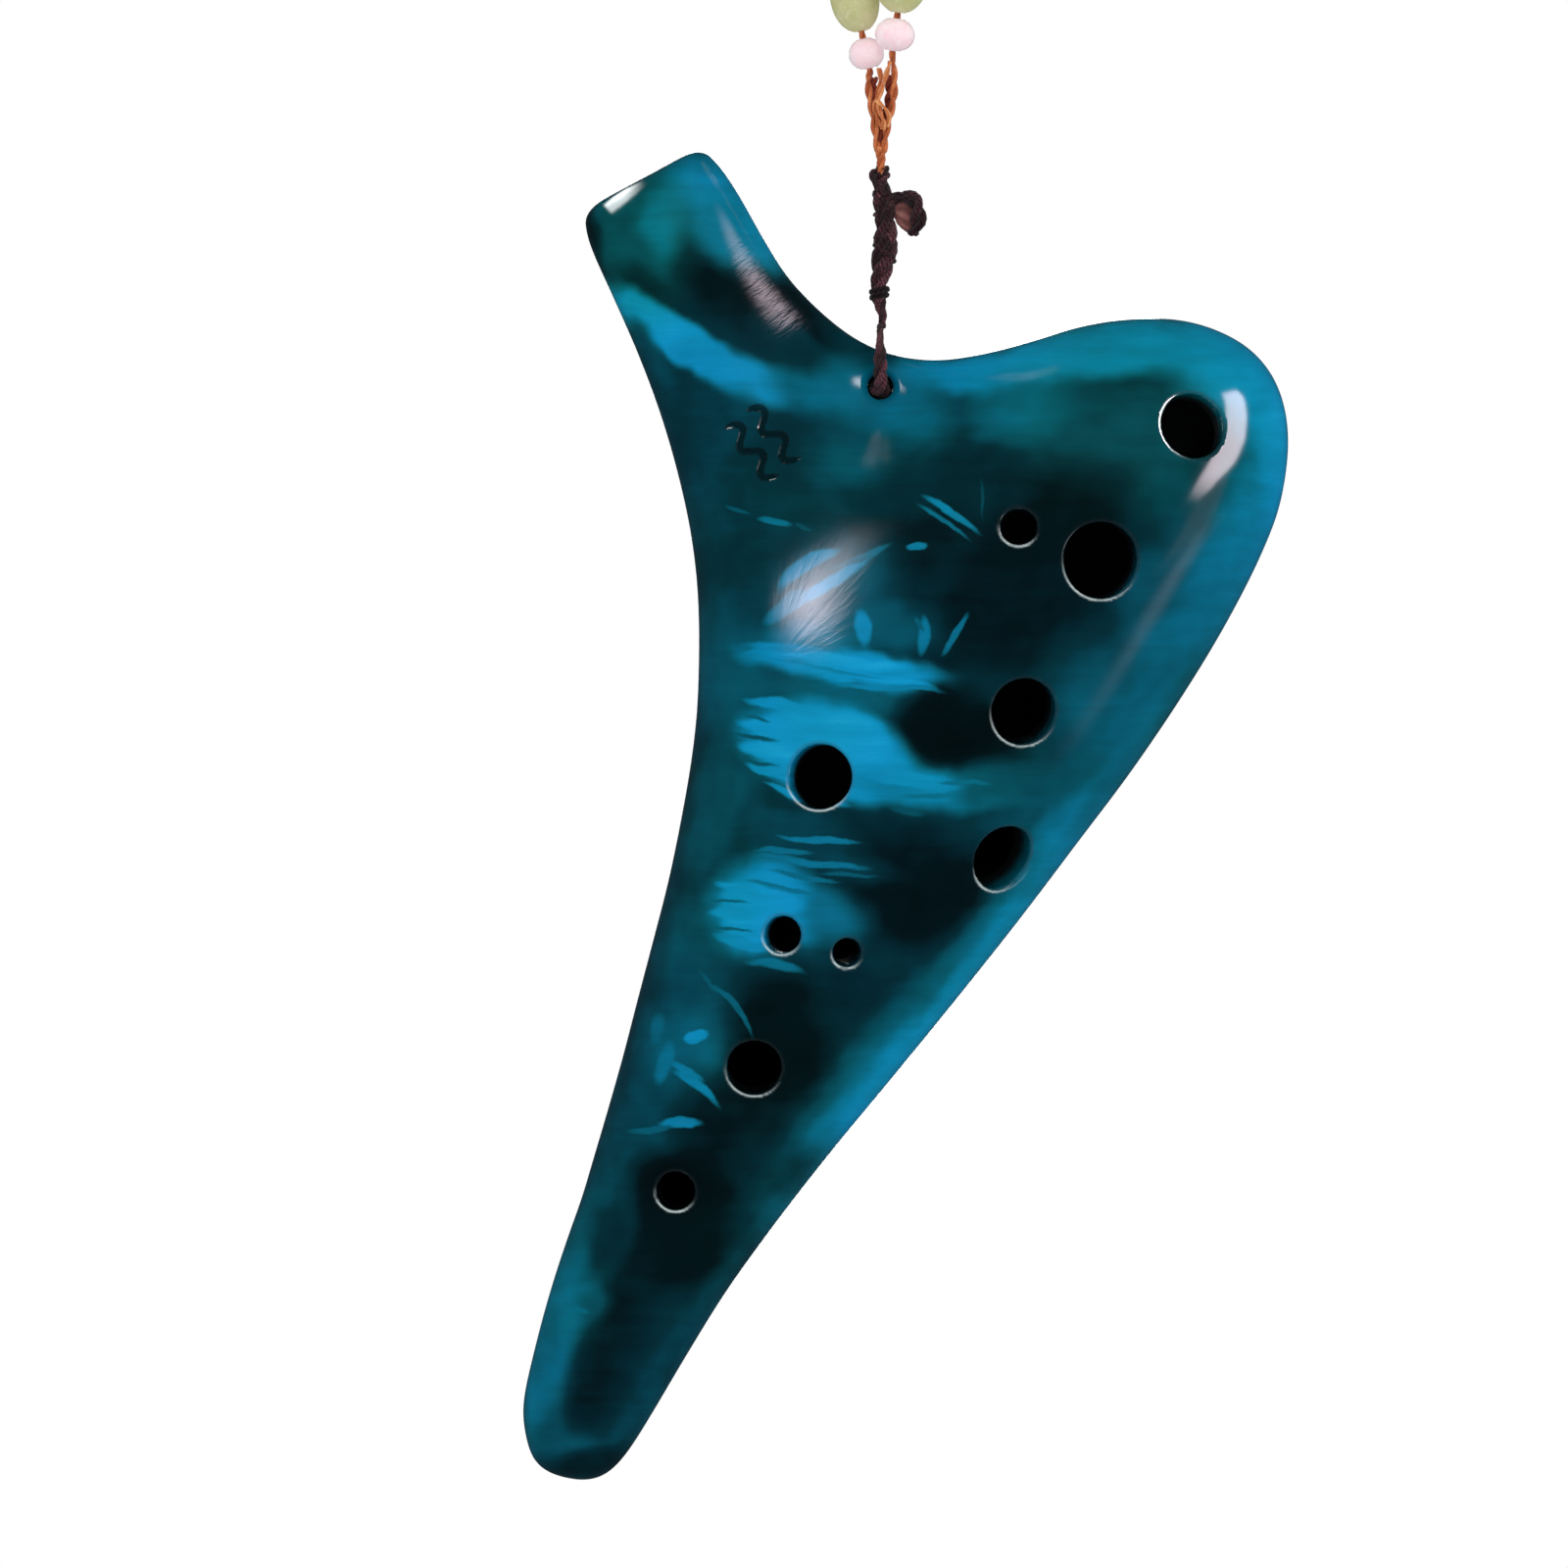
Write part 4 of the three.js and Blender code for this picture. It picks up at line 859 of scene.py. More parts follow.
def glaze_colour(shader, place, strayed, front):
    tones = paint_strokes(shader, strayed, front, shader.attribute("tone"))
    # fibres drawn out along the brushing direction
    amount = shader.step(tones, 0.3, 0.9, start=0.08, end=0.28)
    coarse = shader.noise(shader.mapped(strayed, turn=-8, scale=(0.045, 0.06, 0.42)),
                          scale=1.0, detail=4.0, rough=0.62, distort=0.4)
    fine = shader.noise(shader.mapped(strayed, turn=12, scale=(0.10, 0.12, 1.1)),
                        scale=1.0, detail=3.0, rough=0.6, distort=0.3)
    tones = shader.multiply_add(coarse - 0.5, amount, tones)
    tones = shader.multiply_add(fine - 0.5, amount * 0.5, tones)
    # painted light: brighter where the surface faces right, towards the light on that side
    facing_right = shader.separate(shader.value("Normal", "ShaderNodeNewGeometry"))[0]
    tones = tones + shader.step(facing_right, 0.75, 0.99, start=0.0, end=0.12)
    colour = shader.ramp(tones, [
        (0.0, srgb(0, 8, 10)), (0.14, srgb(0, 20, 26)), (0.30, srgb(0, 48, 60)),
        (0.46, srgb(0, 82, 102)), (0.62, srgb(0, 108, 140)), (0.78, srgb(0, 130, 176)),
        (0.92, srgb(4, 146, 200)), (1.0, srgb(20, 160, 210)),
    ])
    # greener in drifts, over the mouthpiece and on the right shoulder
    green = shader.step(shader.noise(place, 0.035, detail=2.0), 0.42, 0.62) * 0.32
    lips = shader.oval(place, x=-36.0, z=170.0, half_x=11.0, half_z=15.0)
    green = shader.math("MAXIMUM", green, shader.step(lips, 1.1, 0.4, start=0.0, end=0.8))
    crown = shader.oval(place, x=30.0, z=146.0, half_x=26.0, half_z=20.0)
    green = shader.math("MAXIMUM", green, shader.step(crown, 1.15, 0.4, start=0.0, end=0.6))
    greened = shader.mix_colour(1.0, colour, (0.9, 1.02, 0.68, 1), blend="MULTIPLY")
    return shader.mix_colour(green, colour, greened)


def pressed_waves(shader, place, front):
    """A plain ornament of two short waves beside the mouthpiece: 0 in the lines, 1 off them."""
    half_length, row_offset, wavelength = 4.5, 1.9, 4.6
    cosine, sine = math.cos(math.radians(-52)), math.sin(math.radians(-52))
    off = shader.vector("SUBTRACT", place, (-19.7, 0.0, 142.6))
    along = shader.vector("DOT_PRODUCT", off, (cosine, 0, sine))
    across = shader.vector("DOT_PRODUCT", off, (-sine, 0, cosine))
    past = shader.math("MAXIMUM", abs(along) - half_length, 0.0)
    rate = TURN / wavelength
    distances = []
    for row in (-row_offset, row_offset):
        wave = shader.multiply_add(shader.math("SINE", along * rate), 1.0, row)
        slope = shader.math("COSINE", along * rate) * rate
        steepness = shader.math("SQRT", shader.multiply_add(slope, slope, 1.0))
        away = abs(across - wave) / steepness
        distances.append(shader.math("SQRT", away * away + past * past))
    nearest = shader.math("MINIMUM", *distances)
    return 1.0 - shader.step(nearest, 0.62, 0.22) * front


def glaze_scratches(shader, place, strayed, rubbed, worn):
    """A fan of fine scratches over the belly, and ridges across the side of the neck."""
    x, _, z = shader.separate(shader.vector("SUBTRACT", place, (-18.6, 0.0, 111.6)))
    angle = shader.math("ARCTAN2", z, x)
    reach = shader.math("SQRT", x * x + z * z)
    rays = shader.noise(shader.combine(angle * 9.0, reach * 0.12, 0.0),
                        scale=1.0, detail=3.0, rough=0.6)
    across = shader.vector("DOT_PRODUCT", strayed, (0.54 * 1.5, 0, -0.84 * 1.5))
    along = shader.vector("DOT_PRODUCT", place, (0.84 * 0.2, 0, 0.54 * 0.2))
    ridges = shader.noise(shader.combine(across, along, 0.0), scale=1.0, detail=2.0, rough=0.6)
    return rays * rubbed * 0.8 + ridges * worn * 1.8


def glaze_material():
    shader = material_shader("marbled_glaze")
    place = shader.place()
    drift, waver = (
        shader.vector("SUBTRACT", shader.noise(place, output="Color", **settings), (0.5,) * 3)
        for settings in (dict(scale=0.07, detail=2.0), dict(scale=0.55, detail=3.0, rough=0.6)))
    stray = shader.vector("ADD", shader.scaled(drift, 3.2), shader.scaled(waver, 0.6))
    strayed = shader.vector("ADD", place, stray)
    front = shader.step(shader.separate(place)[1], -1.0, -4.5)
    colour = glaze_colour(shader, place, strayed, front)
    # inside the holes and the body: bare clay, painted near-black for the shade that falls there
    inner = shader.step(shader.attribute("skin"), 0.9, 3.2)
    colour = shader.mix_colour(inner, colour, srgb(10, 16, 18))
    glazed_rough = shader.multiply_add(shader.noise(place, 0.8), 0.05, 0.10)
    rough = shader.mix_value(inner, glazed_rough, 0.6)
    rim = shader.attribute("rim") * (1.0 - inner)
    # duller on the belly and on the side of the neck
    rubbed = shader.oval(place, x=-11.0, z=122.5, half_x=13.0, half_z=13.0)
    rubbed = shader.step(rubbed, 1.0, 0.2) * front
    rough = shader.mix_value(rubbed, rough, 0.18)
    worn = shader.oval(place, x=-18.4, z=164.0, half_x=7.0, half_z=9.0)
    worn = shader.step(worn, 1.2, 0.4) * front
    rough = shader.mix_value(worn, rough, 0.19)
    pressed = pressed_waves(shader, place, front)
    # darker in the pressed lines: painted shade in the grooves
    colour = shader.mix_colour((1.0 - pressed) * 0.75, colour, srgb(0, 14, 16))
    normal = shader.bump(0.20, 0.0003, shader.noise(strayed, 0.10, detail=2.0))
    normal = shader.bump(0.03, 0.00004, shader.noise(place, 1.8, detail=2.0), Normal=normal)
    scratches = glaze_scratches(shader, place, strayed, rubbed, worn)
    normal = shader.bump(0.5, 0.00012, scratches, Normal=normal)
    normal = shader.bump(1.0, 0.00042, pressed, Normal=normal)
    glint = (1.0 - abs(shader.multiply_add(pressed, 2.0, -1.0))) * 0.6
    return shader.principled({
        "Base Color": colour, "Roughness": rough, "IOR": 1.5, "Normal": normal,
        "Coat Weight": shader.math("MAXIMUM", rim * 0.9, glint), "Coat Roughness": 0.12,
        "Coat IOR": 3.6, "Coat Normal": normal,
    })


def place_part(part, body, slot, *nodes):
    """Ties a part to a body, or, given a pair of bodies, only bakes its place into its mesh; and
    hides the CAD nodes it replaces.
    """
    if isinstance(body, tuple):
        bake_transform(part)
    else:
        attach(part, body)
    if nodes:
        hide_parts(*nodes)


GLAZE = glaze_material()
front_bmesh, back_bmesh = build_halves()
front_half = finish_half(front_bmesh, "glazed_front_half", GLAZE)
back_half = finish_half(back_bmesh, "glazed_back_half", GLAZE)
place_part(front_half, "ocarina", "glazed_ceramic", "front_shell")
place_part(back_half, "ocarina", "glazed_ceramic", "back_shell")


# ---------------------------------------------------------------- meshes for cords and beads
def make_object(name, points, faces, material, attributes=None):
    data = bpy.data.meshes.new(name)
    data.from_pydata((points * MM).tolist(), [], [list(map(int, face)) for face in faces])
    data.materials.append(material)
    for key, values in (attributes or {}).items():
        add_attribute(data, key, values)
    data.polygons.foreach_set("use_smooth", [True] * len(data.polygons))
    return link_object(name, data)


def face_outwards(thing):
    mesh = bmesh.new()
    mesh.from_mesh(thing.data)
    bmesh.ops.recalc_face_normals(mesh, faces=mesh.faces)
    mesh.to_mesh(thing.data)
    mesh.free()


def path_frames(path, closed, up):
    """Tangents and a parallel-carried pair of side vectors along a path."""
    if closed:
        tangents = np.roll(path, -1, 0) - np.roll(path, 1, 0)
    else:
        tangents = np.gradient(path, axis=0)
    tangents /= np.linalg.norm(tangents, axis=1)[:, None]
    sides = np.zeros_like(path)
    carried = np.asarray(up, float)
    for i, tangent in enumerate(tangents):
        carried = unit(carried - tangent * (carried @ tangent))
        sides[i] = carried
    return tangents, sides, np.cross(tangents, sides)


def smooth_path(points, step=0.1, closed=False):
    curve = catmull(points, closed)
    path = np.concatenate([curve, curve[:1]]) if closed else curve
    length = np.linalg.norm(np.diff(path, axis=0), axis=1).sum()
    return resample(curve, max(8, int(length / step)), closed)


def tube(path, radius, sides, closed=False, flat=1.0, turn=0.0, up=(0, -1, 0), ends=True):
    """Points, faces, and the (along, around) place of each point.  radius is a number or one per
    path point; flat squeezes the section, turn swings it; ends rounds the tube off."""
    _, side, other = path_frames(path, closed, up)
    count = len(path)
    radius = np.broadcast_to(np.asarray(radius, float), (count,)).copy()
    along = path_lengths(path)
    if ends and not closed:
        cap = min(radius[0], along[-1] / 3)
        from_end = np.clip(np.minimum(along, along[-1] - along) / cap, 0, 1)
        radius *= np.sqrt(np.clip(1 - (1 - from_end) ** 2, 0.0025, 1))
    angles = np.linspace(0, TURN, sides, endpoint=False)
    wide, thin = np.cos(angles) * radius[:, None], np.sin(angles) * radius[:, None] * flat
    cosine, sine = math.cos(turn), math.sin(turn)
    points = (path[:, None] + side[:, None] * (wide * cosine - thin * sine)[..., None]
              + other[:, None] * (wide * sine + thin * cosine)[..., None]).reshape(-1, 3)
    faces = []
    for i in range(count if closed else count - 1):
        here, there = i * sides, ((i + 1) % count) * sides
        for k in range(sides):
            after = (k + 1) % sides
            faces.append((here + k, here + after, there + after, there + k))
    if not closed:
        faces.append(tuple(range(sides - 1, -1, -1)))
        faces.append(tuple((count - 1) * sides + k for k in range(sides)))
    return points, faces, np.repeat(along, sides), np.tile(angles / TURN, count)


class Bundle:
    """Collects several tubes into one mesh."""

    def __init__(self):
        self.points, self.faces, self.along, self.around, self.shades = [], [], [], [], []

    def add(self, path, radius, sides, shade, **shape):
        points, faces, along, around = tube(path, radius, sides, **shape)
        first = sum(map(len, self.points))
        self.points.append(points)
        self.faces += [tuple(i + first for i in face) for face in faces]
        self.along.append(along)
        self.around.append(around)
        self.shades.append(np.full(len(points), shade))

    def lay(self, path, radius, pitch, sides, shades, count=2, closed=False, phase=0.0,
            up=(0, -1, 0), squeeze=1.0):
        """A laid cord: count plies wound round a path, radius the whole cord's."""
        tangents, side, other = path_frames(path, closed, up)
        along = path_lengths(path)
        length, slip = along[-1], 0.0
        turns = length / pitch
        if closed:
            length += np.linalg.norm(path[0] - path[-1])
            turns = max(1, round(length / pitch))
            # The carried frame comes back turned by some angle; wind the plies so they meet.
            back = side[-1] - tangents[0] * (side[-1] @ tangents[0])
            slip = math.atan2(np.cross(back, side[0]) @ tangents[0], back @ side[0])
        radius = np.broadcast_to(np.asarray(radius, float), (len(path),))
        offset = radius / (1 + math.sin(math.pi / count))
        for k in range(count):
            angle = TURN * (along / length * turns + k / count) + phase + slip * along / length
            ply = (path + side * (np.cos(angle) * offset)[:, None]
                   + other * (np.sin(angle) * offset * squeeze)[:, None])
            self.add(ply, (radius - offset) * 1.06, sides, shades[k], closed=closed, up=up)

    def build(self, name, material, rough, cell):
        points = np.concatenate(self.points)
        shift = np.stack([noise3(points / cell + k * 17.3) for k in range(3)], 1)
        return make_object(name, points + shift * rough, self.faces, material, {
            "along": np.concatenate(self.along), "around": np.concatenate(self.around),
            "shade": np.concatenate(self.shades)})


def cord_material(name, dark, mid, light, rough, bump_depth, bump, wax=0.0, period=0.55):
    """Woven cord: thin yarns spiral round each ply once every period."""
    shader = material_shader(name)
    place = shader.place()
    along, around, shade = (shader.attribute(key) for key in ("along", "around", "shade"))
    spiral = around * (TURN * 5) + along * (TURN / period)
    yarn = shader.multiply_add(shader.math("SINE", spiral), 0.5, 0.5)
    flow = shader.combine(along * 0.9, shader.math("SINE", around * TURN),
                          shader.math("COSINE", around * TURN))
    fibres = shader.noise(shader.vector("MULTIPLY", flow, (1.0, 3.0, 3.0)),
                          scale=2.4, detail=4.0, rough=0.65)
    blotches = shader.noise(place, scale=0.75, detail=3.0, rough=0.55)
    fuzz = shader.noise(place, scale=9.0, detail=2.0, rough=0.6)
    level = yarn * 0.22 + fibres * 0.45 + blotches * 0.55 + (shade - 0.5) - 0.12
    height = yarn * 0.6 + (fibres * 0.8 + fuzz * 0.35)
    return shader.principled({
        "Base Color": shader.ramp(level, [(0.12, dark), (0.5, mid), (0.88, light)]),
        "Roughness": rough, "Normal": shader.bump(bump, bump_depth, height),
        "Coat Weight": wax, "Coat Roughness": 0.3, "Sheen Weight": 0.12,
        "Sheen Roughness": 0.5, "Specular IOR Level": 0.35,
    })


TIE = cord_material(
    "tie_cord_weave", dark=srgb(12, 0, 4), mid=srgb(56, 13, 25), light=srgb(160, 90, 104),
    rough=0.62, bump_depth=0.00016, bump=0.9)
TIE_INNER = cord_material(
    "tie_cord_inner", dark=srgb(52, 22, 26), mid=srgb(112, 64, 62), light=srgb(158, 108, 102),
    rough=0.72, bump_depth=0.00010, bump=0.5, period=2.2)
STRAP = cord_material(
    "strap_cord_weave", dark=srgb(96, 28, 10), mid=srgb(200, 100, 46), light=srgb(250, 180, 118),
    rough=0.36, bump_depth=0.00006, bump=0.4, wax=0.3, period=0.42)
# A darker copy of the strap cord: painted shade on the strands that lie behind.
STRAP_SHADED = cord_material(
    "strap_cord_shaded", dark=srgb(92, 20, 10), mid=srgb(150, 56, 26), light=srgb(200, 100, 56),
    rough=0.5, bump_depth=0.00008, bump=0.5, wax=0.1, period=0.42)


# ---------------------------------------------------------------- tie cord
def tie_ring():
    """The ring through the lanyard hole: a three-ply laid cord."""
    middle_x, middle_z = LANYARD
    # y, and z above the hole's middle, up the back of the ring
    profile = [(0, -0.15), (2.4, -0.12), (3.9, 0.5), (4.75, 2.2), (4.85, 4.2), (4.3, 6.2),
               (2.6, 7.8), (0, 8.4)]
    profile += [(-y, z) for y, z in profile[-2:0:-1]]
    ring = smooth_path([(middle_x, y, middle_z + z) for y, z in profile], 0.16, closed=True)
    rise, depth = ring[:, 2] - middle_z, np.abs(ring[:, 1])
    radius = np.interp(rise, [-0.3, 3.6, 5.0, 6.2, 8.4], [0.95, 0.95, 0.78, 0.5, 0.46])
    in_hole = mix(1.52, radius, smoothstep(1.7, 3.4, depth))
    bundle = Bundle()
    bundle.lay(ring, np.where(rise < 0.4, in_hole, radius), pitch=6.6, sides=14, count=3,
               closed=True, phase=0.6, shades=(0.60, 0.40, 0.52), up=(1, 0, 0))
    # painted shade: the plies are darkened where they lie in the hole
    bundle.shades = [
        np.where((np.abs(points[:, 1]) < 2.3) & (points[:, 2] < middle_z + 2.2), 0.02, shade)
        for points, shade in zip(bundle.points, bundle.shades)]
    place_part(bundle.build("tie_ring_cord", TIE, rough=0.05, cell=0.4),
               "tie_eye", "tie_cord", "tie_eye")


def tie_hole_shade():
    """A near-black plug round the cord in the lanyard hole: painted shade, filling what the ring's
    plies leave open there.
    """
    bundle = Bundle()
    core = np.array([(LANYARD[0], y, LANYARD[1]) for y in np.linspace(-1.5, 1.5, 15)])
    bundle.add(core, 1.735, sides=48, shade=0.0, up=(1, 0, 0), ends=False)
    coat = material_shader("hole_shade_plug").principled(
        {"Base Color": srgb(12, 7, 8), "Roughness": 0.9})
    place_part(bundle.build("tie_ring_shade_plug", coat, rough=0.0, cell=0.5),
               "tie_eye", "tie_cord", "tie_eye")


def tilted_ring(x, z, radius, tilt, count, lead=0.0):
    """A level ring round a cord whose height sways by tilt."""
    angles = np.linspace(0, TURN, count, endpoint=False)
    return np.stack([x + radius * np.cos(angles), radius * np.sin(angles),
                     z + tilt * np.cos(angles + lead)], 1)


def tie_neck():
    """The drawn-out neck and the dark band at the foot of the trunk."""
    neck = smooth_path([
        (-3.213, 0, 158.5575), (-3.186, 0, 159.03), (-3.159, 0, 159.975), (-3.294, 0, 161.055),
        (-3.618, 0, 162.27), (-3.726, 0, 163.62), (-3.5775, 0, 164.835)], 0.12)
    radius = np.interp(neck[:, 2], [158.0, 158.6, 159.2, 160.6, 161.8, 163.0, 164.6, 165.6],
                       [0.50, 0.52, 0.50, 0.62, 0.86, 1.08, 1.15, 1.25])
    bundle = Bundle()
    bundle.lay(neck, radius, pitch=5.2, sides=14, count=3, phase=1.4, shades=(0.60, 0.44, 0.52))
    place_part(bundle.build("tie_neck", TIE, rough=0.05, cell=0.45),
               ("tie_eye", "tie_cord", (-0.0035, 0, 0.1580), (-0.0035, 0, 0.1626)),
               "tie_cord", "tie_shank")
    bundle = Bundle()
    for k in range(2):
        ring = tilted_ring(-3.62 + 0.02 * k, 163.05 + 0.78 * k, (1.14 + 0.07 * k) * 0.86,
                           tilt=0.22, count=60, lead=0.5)
        bundle.add(ring, 0.42, sides=12, shade=0.18, closed=True, up=(0, 0, 1))
    place_part(bundle.build("tie_whipping", TIE, rough=0.04, cell=0.4), "tie_cord", "tie_cord")


def tie_trunk():
    """The trunk: plies laid round each other, lumpy, with two wrapped stretches."""
    trunk = smooth_path([
        (-3.699, 0, 164.43), (-3.429, 0, 165.915), (-3.159, 0, 167.4), (-2.889, 0, 169.02),
        (-2.727, 0, 170.775), (-2.7, 0, 172.53), (-2.835, 0, 174.15), (-3.024, 0, 175.77),
        (-3.186, 0, 177.12), (-3.294, 0, 178.2), (-3.348, 0, 179.28), (-3.375, 0, 180.225),
    ], 0.12)
    x, _, z = trunk.T
    radius = np.interp(
        z, [164, 165.8, 167.3, 168.6, 170.8, 172.8, 174.6, 176.8, 178.4, 180.2],
        [1.12, 1.36, 1.60, 1.78, 1.74, 1.44, 1.50, 1.46, 1.10, 0.74])
    low, high = z < 171.2, z > 170.2
    bundle = Bundle()
    bundle.lay(trunk[low], radius[low], pitch=9.5, sides=18, count=3, phase=0.2,
               shades=(0.58, 0.36, 0.48), squeeze=0.96)
    for height, tilt, size, shade in [(166.3, 0.9, 1.02, 0.52), (169.0, -1.1, 1.30, 0.42)]:
        ring = tilted_ring(np.interp(height, z, x), height, size, tilt, count=70)
        bundle.add(ring, 0.36, sides=12, shade=shade, closed=True, up=(0, 0, 1))
    place_part(bundle.build("tie_trunk_lower", TIE, rough=0.11, cell=0.8),
               "tie_cord", "tie_cord", "tie_wrap_lower")
    bundle = Bundle()
    bundle.lay(trunk[high], radius[high], pitch=8.0, sides=18, count=3, phase=4.3,
               shades=(0.42, 0.56, 0.34), squeeze=0.96)
    place_part(bundle.build("tie_trunk_upper", TIE, rough=0.11, cell=0.8),
               "tie_cord", "tie_cord", "tie_wrap_upper")
    bundle = Bundle()
    for height, tilt, size, shade in [(174.9, 0.75, 1.06, 0.46), (176.2, -0.9, 1.02, 0.36)]:
        ring = tilted_ring(np.interp(height, z, x), height, size, tilt, count=80, lead=0.3)
        bundle.lay(ring, 0.5, pitch=2.2, sides=10, closed=True, shades=(shade, shade + 0.12),
                   up=(0, 0, 1))
    place_part(bundle.build("tie_knot_turns", TIE, rough=0.08, cell=0.6),
               "tie_cord", "tie_cord", "tie_knot")


def tie_bow():
    """A folded loop to the right, its paler inner side turned to the front."""
    bow = smooth_path([
        (-2.835, -0.5, 175.905), (-1.62, -0.75, 176.445), (-0.405, -0.85, 176.7825),
        (0.81, -0.85, 176.5125), (1.5525, -0.8, 175.635), (1.782, -0.7, 174.285),
        (1.593, -0.5, 172.935), (1.1475, -0.3, 171.99), (0.8775, -0.1, 171.3825)])
    radius = np.interp(np.linspace(0, 1, len(bow)), [0, 0.2, 0.5, 0.8, 1],
                       [0.80, 0.94, 1.12, 1.14, 0.92])
    bundle = Bundle()
    bundle.lay(bow, radius, pitch=6.0, sides=16, phase=0.5, shades=(0.44, 0.30))
    place_part(bundle.build("tie_bow_loop", TIE, rough=0.09, cell=0.6),
               "tie_cord", "tie_cord", "tie_bow")
    inner = smooth_path([
        (-2.295, 0.1, 176.31), (-1.35, 0.15, 175.77), (-0.54, 0.15, 174.96),
        (0, 0.1, 173.88), (0.54, 0.1, 172.665), (0.945, 0.1, 171.72)])
    radius = np.interp(np.linspace(0, 1, len(inner)), [0, 0.3, 0.7, 1], [1.0, 1.55, 1.35, 0.6])
    bundle = Bundle()
    bundle.add(inner, radius, sides=20, shade=0.56, flat=0.30, turn=math.pi / 2)
    place_part(bundle.build("tie_bow_inner", TIE_INNER, rough=0.07, cell=0.6),
               "tie_cord", "tie_cord")


def tie_hitch(side, points, radius, phase, shades):
    """One of the two hitch turns that grip the strap."""
    bundle = Bundle()
    bundle.lay(smooth_path(points), radius, pitch=3.0, sides=12, phase=phase, shades=shades)
    place_part(bundle.build("tie_hitch_turn_" + side, TIE, rough=0.07, cell=0.5),
               "tie_cord", "tie_cord", "tie_hitch_" + side)


tie_ring()
tie_hole_shade()
tie_neck()
tie_trunk()
tie_bow()
tie_hitch("left", [
    (-2.295, -0.9, 176.985), (-3.105, -1.25, 177.795), (-3.915, -1.2, 178.47),
    (-4.3875, -0.7, 179.28), (-4.32, 0.2, 180.0225), (-3.645, 0.8, 180.36), (-2.97, 1.0, 179.955),
], radius=0.60, phase=0.2, shades=(0.34, 0.46))
tie_hitch("right", [
    (-4.05, -0.8, 176.985), (-3.5775, -1.05, 178.2), (-2.97, -1.1, 179.145),
    (-2.565, -0.6, 180.0225), (-2.9025, 0.1, 180.6975), (-3.51, 0.6, 180.765),
    (-3.915, 0.95, 180.09),
], radius=0.58, phase=1.2, shades=(0.54, 0.40))


# ---------------------------------------------------------------- strap
BORE = 0.85  # radius of the hole through a bead
PINK_LEFT, GREEN_LEFT = np.array([-5.40, 1.85, 196.49]), np.array([-7.02, 2.25, 204.32])
PINK_RIGHT, GREEN_RIGHT = np.array([-1.49, -1.85, 198.99]), np.array([-0.47, -2.25, 206.82])
AXIS_LEFT, AXIS_RIGHT = unit(GREEN_LEFT - PINK_LEFT), unit(GREEN_RIGHT - PINK_RIGHT)


def strap_gather():
    """Where the strap's strands gather in the hitch."""
    gather = smooth_path([
        (-3.348, 0, 179.55), (-3.348, 0, 180.63), (-3.375, 0, 181.575), (-3.402, 0, 182.52),
        (-3.429, 0, 183.6)])
    radius = np.interp(gather[:, 2], [179.5, 181, 182.3, 183.6], [0.55, 0.60, 0.66, 0.86])
    bundle = Bundle()
    bundle.lay(gather, radius, pitch=4.0, sides=12, count=3, shades=(0.60, 0.42, 0.52))
    place_part(bundle.build("strap_gather", STRAP, rough=0.03, cell=0.4),
               ("tie_cord", "strap", (-0.0034, 0, 0.1812), (-0.0034, 0, 0.1834)),
               "strap_cord", "strap_splice")


def strap_loop():
    """Up through the left beads, over the top and down through the right ones."""
    points = [
        (-3.7935, 0, 182.79), (-3.969, 0, 184.005), (-4.131, -0.05, 185.355), (-4.293, 0, 186.84),
        (-4.5495, 0, 188.595), (-4.914, 0.1, 190.35), (-5.0895, 0.5, 191.97),
        (-5.0085, 1.4, 193.59)]
    points += [tuple(PINK_LEFT + AXIS_LEFT * d) for d in (-2.6, 0, 2.6)]
    points += [tuple(GREEN_LEFT + AXIS_LEFT * d) for d in (-4, 0, 3, 5.4)]
    points += [(-7.70, 2.30, 210.20), (-7.29, 1.90, 213.03), (-5.94, 1.00, 215.46),
               (-3.92, 0.00, 216.35), (-1.76, -1.20, 215.73), (-0.27, -2.20, 214.11)]
    points += [tuple(GREEN_RIGHT + AXIS_RIGHT * d) for d in (5.4, 3, 0, -4)]
    points += [tuple(PINK_RIGHT + AXIS_RIGHT * d) for d in (2.6, 0, -2.6)]
    points += [
        (-1.539, -1.3, 193.725), (-1.539, -0.8, 191.7), (-1.755, -0.4, 189.81),
        (-2.214, -0.1, 187.92), (-2.5785, 0, 186.3), (-2.781, 0, 184.68), (-3.024, 0, 182.79)]
    path = smooth_path(points, 0.12)
    radius = np.interp(path[:, 2], [184.0, 186.0, 191.0, 193.0], [0.50, 0.58, 0.56, 0.46])
    bundle = Bundle()
    bundle.lay(path, radius, pitch=5.2, sides=12, phase=0.4, shades=(0.40, 0.54))
    place_part(bundle.build("strap_loop", STRAP, rough=0.02, cell=0.4),
               "strap", "strap_cord", "strap_cord")


